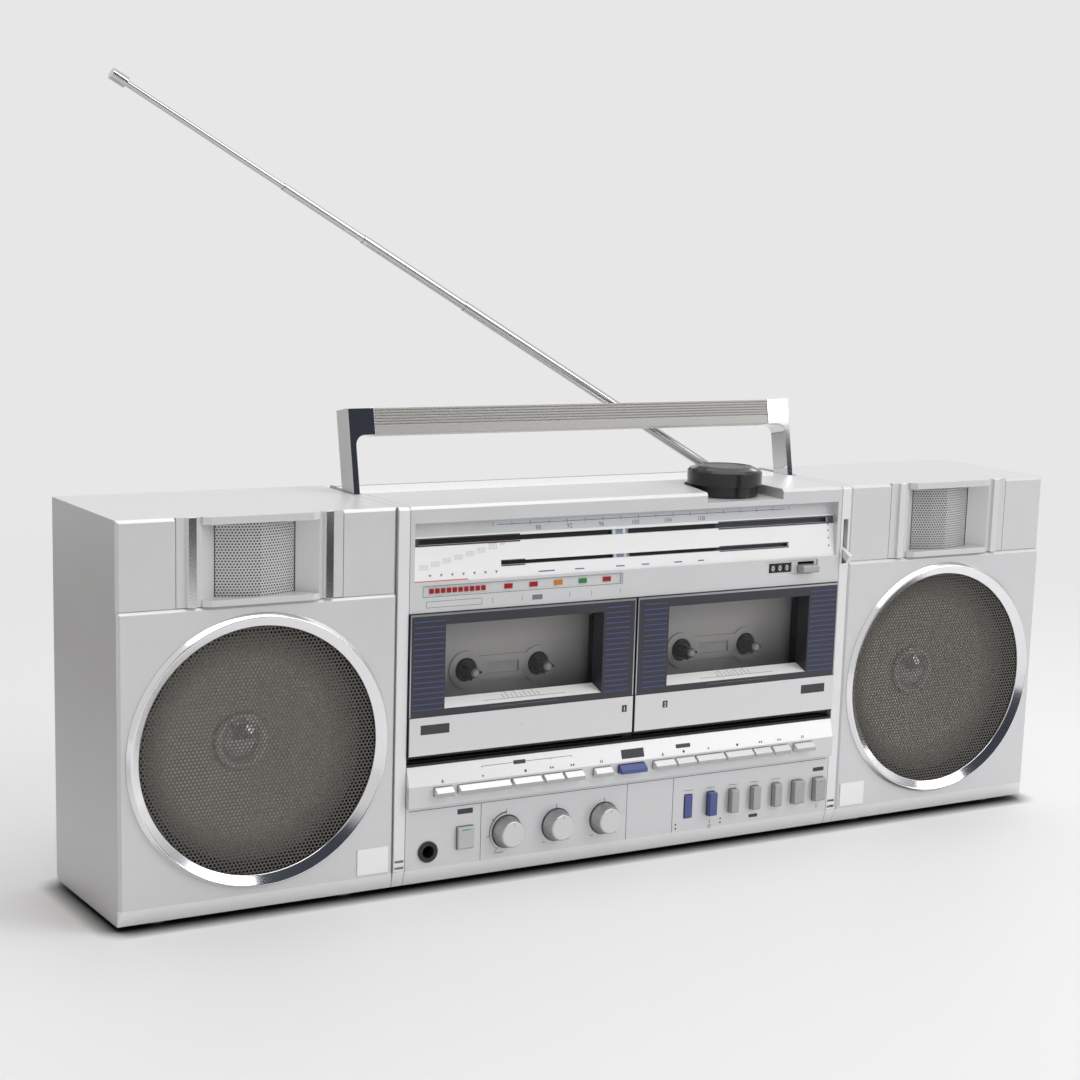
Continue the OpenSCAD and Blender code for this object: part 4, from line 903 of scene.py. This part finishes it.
def door_ledge(number, s, body):
    """Makes the window's ledge with its marks."""
    mid, name = s * DOOR_X, "window_ledge_%d" % number
    ledge = [bar(mid - 45.7, mid + 45.7, 0.02, 0.98)]
    printed(name, ledge, ledge_white, ledge_face, 0.15, body=body, slot="dial_white")
    bm = bmesh.new()
    for i in range(9):
        mark = stroke(mid - 9.6 + 2.6 * i, 0.13, 0.35, 0.95 if i % 2 else 0.75)
        ink(bm, mark, ledge_face, MARK_LIFT)
    ink(bm, bar(mid - 22, mid + 26, 0.33, 0.36), ledge_face, MARK_LIFT)
    ink(bm, bar(mid - 20, mid + 20, 90.2, 90.4), door_face)
    piece("window_marks_%d" % number, bm, ink_grey, body)


# %% Plates and numbers, and both doors
PLATE_X, PLATE_LIFT, SQUARE_X = 117.0, 0.5, {1: -6.0, 2: 19.5}
for number, s in ((1, -1), (2, 1)):
    body, outer, square = "door_%d" % number, s * PLATE_X, SQUARE_X[number]
    door_front(number, s, body)
    door_ledge(number, s, body)
    plates = [bar(outer - 8, outer + 8, 79.5, 84.3), stroke(square, 1.5, 80.2, 83.8)]
    name = "door_plates_%d" % number
    printed(name, plates, ink_dark, door_face, PLATE_LIFT, body=body)
    bm = bmesh.new()
    letters(bm, str(number), square, 80.8, 3.2, plane(DOOR_Y - PLATE_LIFT), lift=0.04)
    piece("door_number_%d" % number, bm, ink_white, body)

# %% [markdown]
# ## Hub holes
# Around each reel spindle the deck plate has a hole, and between the two lies a pale pane. A thin dark
# disc of painted shade on the hole's floor and a thin pale bar give them their look without cutting
# the solid.

# %% Painted shade discs in the hub holes, and panes
DECK_Y, REEL_X, HUB_Z, HUB_R = -21.0, 21.25, 104.7, 6.6
deck_pane = finish("deck pane", (0.62, 0.62, 0.62), 0.2, cloud=0.05)
deck_face, layer = plane(DECK_Y), {"lift": 0.05, "sink": 0.02}
middles = (-DOOR_X, DOOR_X)
hub_shade_discs = [disc(mid + reel, HUB_Z, HUB_R, 40) for mid in middles for reel in (-REEL_X, REEL_X)]
panes = [stroke(mid, 9.4, 101.9, 107.5) for mid in middles]
# painted shade: a dark disc on each hole's floor stands for the shade in the hole
printed("hub_rings", hub_shade_discs, black_plastic, deck_face, **layer)
printed("hub_panes", panes, deck_pane, deck_face, slot="deck_grey", **layer)

# %% [markdown]
# ## Signs on the key ledge
# Small signs above the keys say what each key does. They are common to every tape machine: an arrow
# for play, a square for stop, double arrows for winding, two bars for pause, a dot for record.

# %% Shapes of the signs
SIGN_Z, SIGN = 55.4, 0.75
SLOPE_Z, SLOPE_OUT, SLOPE_RISE = 53.6, 3, 9.6


def key_slope(x, z, rise):
    """The key ledge's sloped front as a face."""
    return x, FRONT_Y - SLOPE_OUT + SLOPE_OUT * (z - SLOPE_Z) / SLOPE_RISE - rise, z


def arrow(x, way):
    """A triangle that points right, up or left."""
    first = {"right": 0, "up": 90, "left": 180}[way]
    turns = [math.radians(first + a) for a in (0, 120, 240)]
    return [(x + SIGN * math.cos(a), SIGN_Z + SIGN * math.sin(a)) for a in turns]


SIGNS = {
    "eject": lambda x: [arrow(x, "up"), stroke(x, 0.7, SIGN_Z - 1.0, SIGN_Z - 0.7)],
    "play": lambda x: [arrow(x, "right")],
    "stop": lambda x: [stroke(x, 0.6, SIGN_Z - 0.6, SIGN_Z + 0.6)],
    "rewind": lambda x: [arrow(x - 0.7, "left"), arrow(x + 0.7, "left")],
    "forward": lambda x: [arrow(x - 0.7, "right"), arrow(x + 0.7, "right")],
    "pause": lambda x: [stroke(x + d, 0.22, SIGN_Z - 0.7, SIGN_Z + 0.7) for d in (-0.5, 0.5)],
    "record": lambda x: [disc(x, SIGN_Z, 0.7, 16)],
}
print("kinds of sign:", len(SIGNS))

# %% Key signs and sill
signs = [bar(-7, 7, 55.2, 59.8), bar(27.4, 36.6, 57.3, 59.3), bar(-71.5, -64.5, 59.1, 61.0)]
signs += [bar(x0, x1, 59.95, 60.15) for x0, x1 in ((-90, -71.5), (-64.5, -37.2))]
signs += [stroke(x, 0.1, 59.2, 60.1) for x in (-90, -49.6, -37.2)]
for name in named("_key_"):
    low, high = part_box(name)
    signs += SIGNS[name.split("_key_")[0]]((low.x + high.x) / 2 / MM)
printed("key_signs", signs, ink_dark, key_slope)
printed("door_sill", [bar(-131.6, 131.6, 63.3, 64.6)], black_plastic)

# %% [markdown]
# ## Print of the lower field
# Fine lines divide the lower field. A scale sweeps round the volume knob, and short ticks mark the
# middle of the other two. A thin dark ring of painted shade runs round each knob, where the gap to
# the panel lies. A bar and a ring stand for on and off, and the rest of the field stays bare.


# %% Bands and rings
def arc(x, z, r0, r1, start, stop, count):
    """The outline of a band between two radii, from one angle in degrees to another."""
    angles = [math.radians(start + (stop - start) * i / count) for i in range(count + 1)]
    edges = (r1, angles), (r0, angles[::-1])
    return [(x + r * math.cos(a), z + r * math.sin(a)) for r, way in edges for a in way]


def ring_halves(x, z, r0, r1, count):
    """The outlines of a ring's two halves."""
    return [arc(x, z, r0, r1, start, start + 180, count) for start in (0, 180)]


# %% Print round the knobs
SCALE_START, SCALE_STOP = 92, 236
field = []
for x in (KNOB_X["balance_knob"], KNOB_X["tone_knob"]):
    field.append(stroke(x, 0.13, 33.0, 35.0))
    for d in (-1, 1):
        foot = (6.2, 15.3), (7.9, 15.3), (7.9, 15.55), (6.4, 15.55)
        field.append([(x + d * away, z) for away, z in foot])
x = KNOB_X["volume_knob"]
for a in range(SCALE_START, SCALE_STOP, 8):
    field.append(arc(x, KNOB_Z, 9.9, 10.6 - (a - SCALE_START) / 260, a, a + 8, 3))
for a in range(SCALE_START, SCALE_STOP + 1, 48):
    field.append(arc(x, KNOB_Z, 9.4, 12.0, a - 0.6, a + 0.6, 2))
# painted shade: a thin dark ring round each knob, in the gap to the panel
for x in KNOB_X.values():
    field += ring_halves(x, KNOB_Z, 8.2, 8.8, 28)
print("shapes round the knobs:", len(field))

# %% Lines and signs of the lower field
ON_OFF_X, POWER_X = 52.5, 125.0
field += [bar(-130, 130, 40.55, 40.8), bar(-80.9, -75.5, 13.2, 13.45)]
field += [stroke(x, 0.12, 10.6, 40.6) for x in (-89, -1.3, 28)]
field += [stroke(x, 0.45, z - 0.45, z + 0.45) for x in (30.4, 59.6) for z in (14.6, 12.4)]
field += [stroke(x, 0.15, 12.9, 14.9) for x in (ON_OFF_X, POWER_X)]
field += ring_halves(ON_OFF_X, 11.2, 0.7, 0.95, 10)
field += [stroke(x, 3.0, 32.6, 32.8) for x in (38.0, 52.5, 67.0, 81.5, 96.0)]
field += [bar(-102.6, -93.8, 36.2, 38.9), bar(121.4, 128.8, 34.0, 36.2), bar(78.6, 84.4, 12.8, 14.6)]
printed("field_print", field, ink_dark)

# %% Marks that ride on a button and a switch
teal = finish("teal mark", (0.03, 0.33, 0.32), 0.4)
for name, shape, mat, slot, out in (
    ("memory_button", bar(-100.6, -95.8, 27.9, 28.5), teal, "key_blue", 2),
    ("power_switch", bar(124.4, 125.6, 28.4, 29.2), ink_red, "lamp_red", 3.5),
):
    printed(name + "_mark", [shape], mat, plane(FRONT_Y - out), slot=slot, body=name)

# %% [markdown]
# ## Ribs and rings of the knobs
# The rotary knobs are ribbed for the fingers, and the tuning knob has two fine rings on its top, grey
# as a painted highlight on the black. The ribs could be cut into the solids, but thin bars set round a
# circle by a tree do the same job.

# %% Tree for bars round a circle
round_bars, given = new_tree("bars round a circle", Count="Int", Radius="Float", Bar="Vector")
hoop = {"Vertices": given["Count"], "Radius": given["Radius"]}
circle = geo(round_bars, "MeshCircle", hoop, fill_type="NONE")
step = maths(round_bars, "DIVIDE", 2 * math.pi, given["Count"])
angle = maths(round_bars, "MULTIPLY", geo(round_bars, "InputIndex")[0], step)
turn = add(round_bars, "ShaderNodeCombineXYZ", {2: angle})[0]
rib = geo(round_bars, "MeshCube", {"Size": given["Bar"]})
ribs = on_points(round_bars, circle[0], rib[0], Rotation=turn)
close_tree(round_bars, ribs, given)

# %% Ribs on the rotary knobs
RIBS, RIB_R, RIB, RIB_TAPER = 64, 7.4, (0.5, 0.32, 5.6), 0.034
RIB_Y, KNOB_FACE_Y = FRONT_Y - 3.6, FRONT_Y - 7.44
for name, x in KNOB_X.items():
    mesh = grow(round_bars, Count=RIBS, Radius=RIB_R, Bar=RIB, Finish=knob_plate)
    for v in mesh.vertices:
        taper = 1.0 - RIB_TAPER * v.co.z
        v.co = (v.co.x * taper, v.co.y * taper, v.co.z)
    mesh.transform(Matrix.Translation((x, RIB_Y, KNOB_Z)) @ FACE_FRONT)
    piece(name + "_ribs", mesh, knob_plate, name)
    index = [stroke(x, 0.3, KNOB_Z + 4.2, KNOB_Z + 6.4)]
    printed(name + "_index", index, ink_pale, plane(KNOB_FACE_Y), body=name)

# %% Rings on the tuning knob's top
TUNING_TOP = (70.9, -18.2, 202.75)
# fine raised rings, painted grey as a highlight on the black knob
ring_highlight = finish("knob ring", (0.16, 0.16, 0.17), 0.15, 0.6, cloud=0.1)
stand_up = Matrix.Translation(TUNING_TOP) @ Matrix.Rotation(-math.pi / 2, 4, "X")
for number, r in enumerate((11.8, 14.4), 1):
    profile = [(r, 0.05), (r + 0.5, 0.05), (r + 0.4, -0.18), (r + 0.1, -0.18)]
    ring = turned("ring", profile, (0, 0, 0), 96)
    ring.transform(stand_up)
    piece("tuning_knob_ring_%d" % number, ring, ring_highlight, "tuning_knob")

# %% [markdown]
# ## Badge places
# Each speaker's lower inner corner has a small pale plate with a bare face. On the real set such a
# plate is glued on, so here it is a thin layer of its own.

# %% Badge plates
badge_pale = finish("badge plate", (0.86, 0.86, 0.865), 0.3, 0.1, cloud=0.02)
for side, s in SIDES:
    plate = [bar(*sorted((s * 141.3, s * 158.0)), 11.8, 24.8)]
    body = "speaker_" + side
    printed("badge_plate_" + side, plate, badge_pale, lift=0.5, body=body, slot="silver_paint")

# %% [markdown]
# ## Back
# The back carries what a portable set needs there: a clip-on cover over the battery bay, screws, and
# a place for the rating label, which stays bare. The photograph doesn't show this side, so it is kept
# plain. One screw is modelled and a tree sets copies on points.

# %% Tree for copies on points
scatter, given = new_tree("copies on points", Model="Object")
model = geo(scatter, "ObjectInfo", {"Object": given["Model"]})
close_tree(scatter, on_points(scatter, given["Geometry"], model["Geometry"]), given)


def copied(mesh, points):
    """Copies of a small mesh at points."""
    spots = bpy.data.meshes.new("spots")
    spots.from_pydata(points, [], [])
    host = shown("model", mesh)
    made = grow(scatter, spots, Model=host, Finish=None)
    bpy.data.objects.remove(host)
    return made


# %% Screws
BACK_Y = 44.0
SCREWS = {
    "centre_unit": [(-122, 12), (0, 12), (122, 12), (-122, 168), (0, 168), (122, 168)],
    "speaker_left": [(-271, 12), (-147, 12), (-271, 183), (-147, 183)],
    "speaker_right": [(147, 12), (271, 12), (147, 183), (271, 183)],
}
screw_steel = finish("screw steel", (0.12, 0.12, 0.125), 0.35, 0.8, cloud=0.1, patch=2)
cross = [bar(-1.4, 1.4, -0.28, 0.28), bar(-0.28, 0.28, -1.4, 1.4)]
head = drawn("head", [disc(0, 0, 2.6)], plane(0), -0.35, -0.1)
# painted shade: the cross slots are dark, for the shade inside them
slots = drawn("cross", cross, plane(0), -0.38, -0.3)
for body, spots in SCREWS.items():
    points = [(x, BACK_Y, z) for x, z in spots]
    piece("screws_" + body, copied(head, points), screw_steel, body)
    piece("screw_slots_" + body, copied(slots, points), ink_dark, body)

# %% Battery cover and label place
COVER_X, COVER_Z, GAP = (-46, 96), (21, 71), 0.6
(x0, x1), (z0, z1) = COVER_X, COVER_Z
back_face, cover_paint = plane(BACK_Y), silver("battery cover")
sides = [bar(a, b, z0 - GAP, z1 + GAP) for a, b in ((x0 - GAP, x0), (x1, x1 + GAP))]
ends = [bar(x0, x1, a, b) for a, b in ((z0 - GAP, z0), (z1, z1 + GAP))]
grips = bmesh.new()
for x in (-24, 74):
    bars(grips, (x, BACK_Y + 0.6, 62.0), (0, 0, 1.8), 4, (16, 0.6, 0.9))
cover, label = [bar(x0, x1, z0, z1)], [bar(-122, -64, 44, 71)]
printed("battery_cover_face", cover, cover_paint, back_face, -0.4, -0.1, slot="silver_paint")
printed("battery_cover_gap", sides + ends, ink_dark, back_face, -0.05, -0.1)
piece("battery_cover_grips", grips, silver_paint, CENTRE)
printed("rating_label", label, badge_pale, back_face, -0.12, -0.1, slot="silver_paint")

# %% [markdown]
# ## Studio
# Soft light from large panels keeps the shadows pale. The floor fades into the backdrop, so no
# horizon shows, and the room that shiny parts mirror is darker on the camera's side, as in a studio.

# %% Floor
FLOOR_R = 40.0
bm = bmesh.new()
bmesh.ops.create_circle(bm, cap_ends=True, segments=96, radius=FLOOR_R)
floor = shown("floor", to_mesh("floor", bm))
print("floor of", FLOOR_R, "m")

# %% Floor paint: a painted contact shadow under the set, faded far away
BACKDROP = (0.80, 0.80, 0.80)
SHADOW_REACH, SHADOW_POWER, FADE = 0.012, 3.2, (0.45, 1.3)
floor_mat = bpy.data.materials.new("floor paint")
floor_mat.use_nodes = True
tree = floor_mat.node_tree
paint = tree.nodes["Principled BSDF"]
# painted shadow: ambient occlusion darkens the floor near the set, as a contact shadow
near = add(tree, "ShaderNodeAmbientOcclusion", {"Distance": SHADOW_REACH}, samples=8)["AO"]
ground_with_shadow = mixed(tree, maths(tree, "POWER", near, SHADOW_POWER), (0.01,) * 3, (0.82, 0.82, 0.83))
tree.links.new(ground_with_shadow, paint.inputs["Base Color"])
paint.inputs["Roughness"].default_value = 0.55
fade = ramp(tree, vector(tree, "LENGTH", place_on(tree))["Value"], *FADE)
fade.node.interpolation_type = "SMOOTHSTEP"
glow = add(tree, "ShaderNodeEmission", {"Color": rgba(BACKDROP)})
blend = add(tree, "ShaderNodeMixShader", {0: fade, 1: paint.outputs[0], 2: glow[0]})
place = axes_of(tree)


# %% Unlit parts of the floor, which only reflections show
def zone(*edges):
    """A patch of the floor; an edge is an axis and where it starts and is full."""
    mask = 1.0
    for axis, start, full in edges:
        mask = maths(tree, "MULTIPLY", mask, ramp(tree, place[axis], start, full))
    return mask


unlit_front = zone(("Y", -0.50, -0.64), ("X", 0.60, 0.45), ("X", 0.03, 0.20))
unlit_left = zone(("X", -0.30, -0.52), ("Y", -0.15, 0.05), ("Y", 1.3, 1.0))
unlit_far = maths(tree, "MULTIPLY", zone(("X", -0.75, -1.2), ("Y", 1.1, 1.4)), 0.6)
unlit = maths(tree, "MAXIMUM", maths(tree, "MAXIMUM", unlit_front, unlit_left), unlit_far)
mirrored = maths(tree, "MULTIPLY", unlit, add(tree, "ShaderNodeLightPath")["Is Glossy Ray"])
dark = add(tree, "ShaderNodeEmission", {"Color": rgba((0.075, 0.068, 0.062))})
laid = add(tree, "ShaderNodeMixShader", {0: mirrored, 1: blend[0], 2: dark[0]})
tree.links.new(laid[0], tree.nodes["Material Output"].inputs["Surface"])
floor.data.materials.append(floor_mat)
print("floor paint of", len(tree.nodes), "nodes")

# %% Room: fill light, mirrored walls and backdrop
world = scene.world = bpy.data.worlds.new("studio")
world.use_nodes = True
sky = world.node_tree
way = add(sky, "ShaderNodeTexCoord")["Generated"]
across, deep, _ = add(sky, "ShaderNodeSeparateXYZ", {0: way})
path = add(sky, "ShaderNodeLightPath")
room = mixed(sky, ramp(sky, deep, -0.46, -0.18), (0.040, 0.045, 0.060), (0.90, 0.90, 0.90))
fill = mixed(sky, ramp(sky, across, -0.6, 0.2), (0.24, 0.21, 0.18), (0.77, 0.77, 0.77))
walls = mixed(sky, ramp(sky, across, -0.36, -0.48), room, (0.68, 0.68, 0.68))
lit = mixed(sky, path["Is Glossy Ray"], fill, walls)
seen = mixed(sky, path["Is Camera Ray"], lit, BACKDROP)
sky.links.new(seen, sky.nodes["Background"].inputs["Color"])
print("room of", len(sky.nodes), "nodes")


# %% Light panels
def panel(name, spot, aim, size, power):
    """A soft light panel that looks at a point."""
    light = bpy.data.lights.new(name, "AREA")
    light.shape, light.size, light.size_y, light.energy = "RECTANGLE", size[0], size[1], power
    obj = shown(name, light)
    obj.location = spot
    obj.rotation_euler = (Vector(aim) - Vector(spot)).to_track_quat("-Z", "Y").to_euler()
    print(name, "of", power, "W")


AIM = (0, 0, 0.1)
panel("top panel", (0.1, -0.3, 2.2), AIM, (2.4, 2.0), 25)
panel("front panel light", (1.99, -1.86, 1.55), AIM, (1.45, 1.5), 28)
scene.view_settings.view_transform = "Standard"
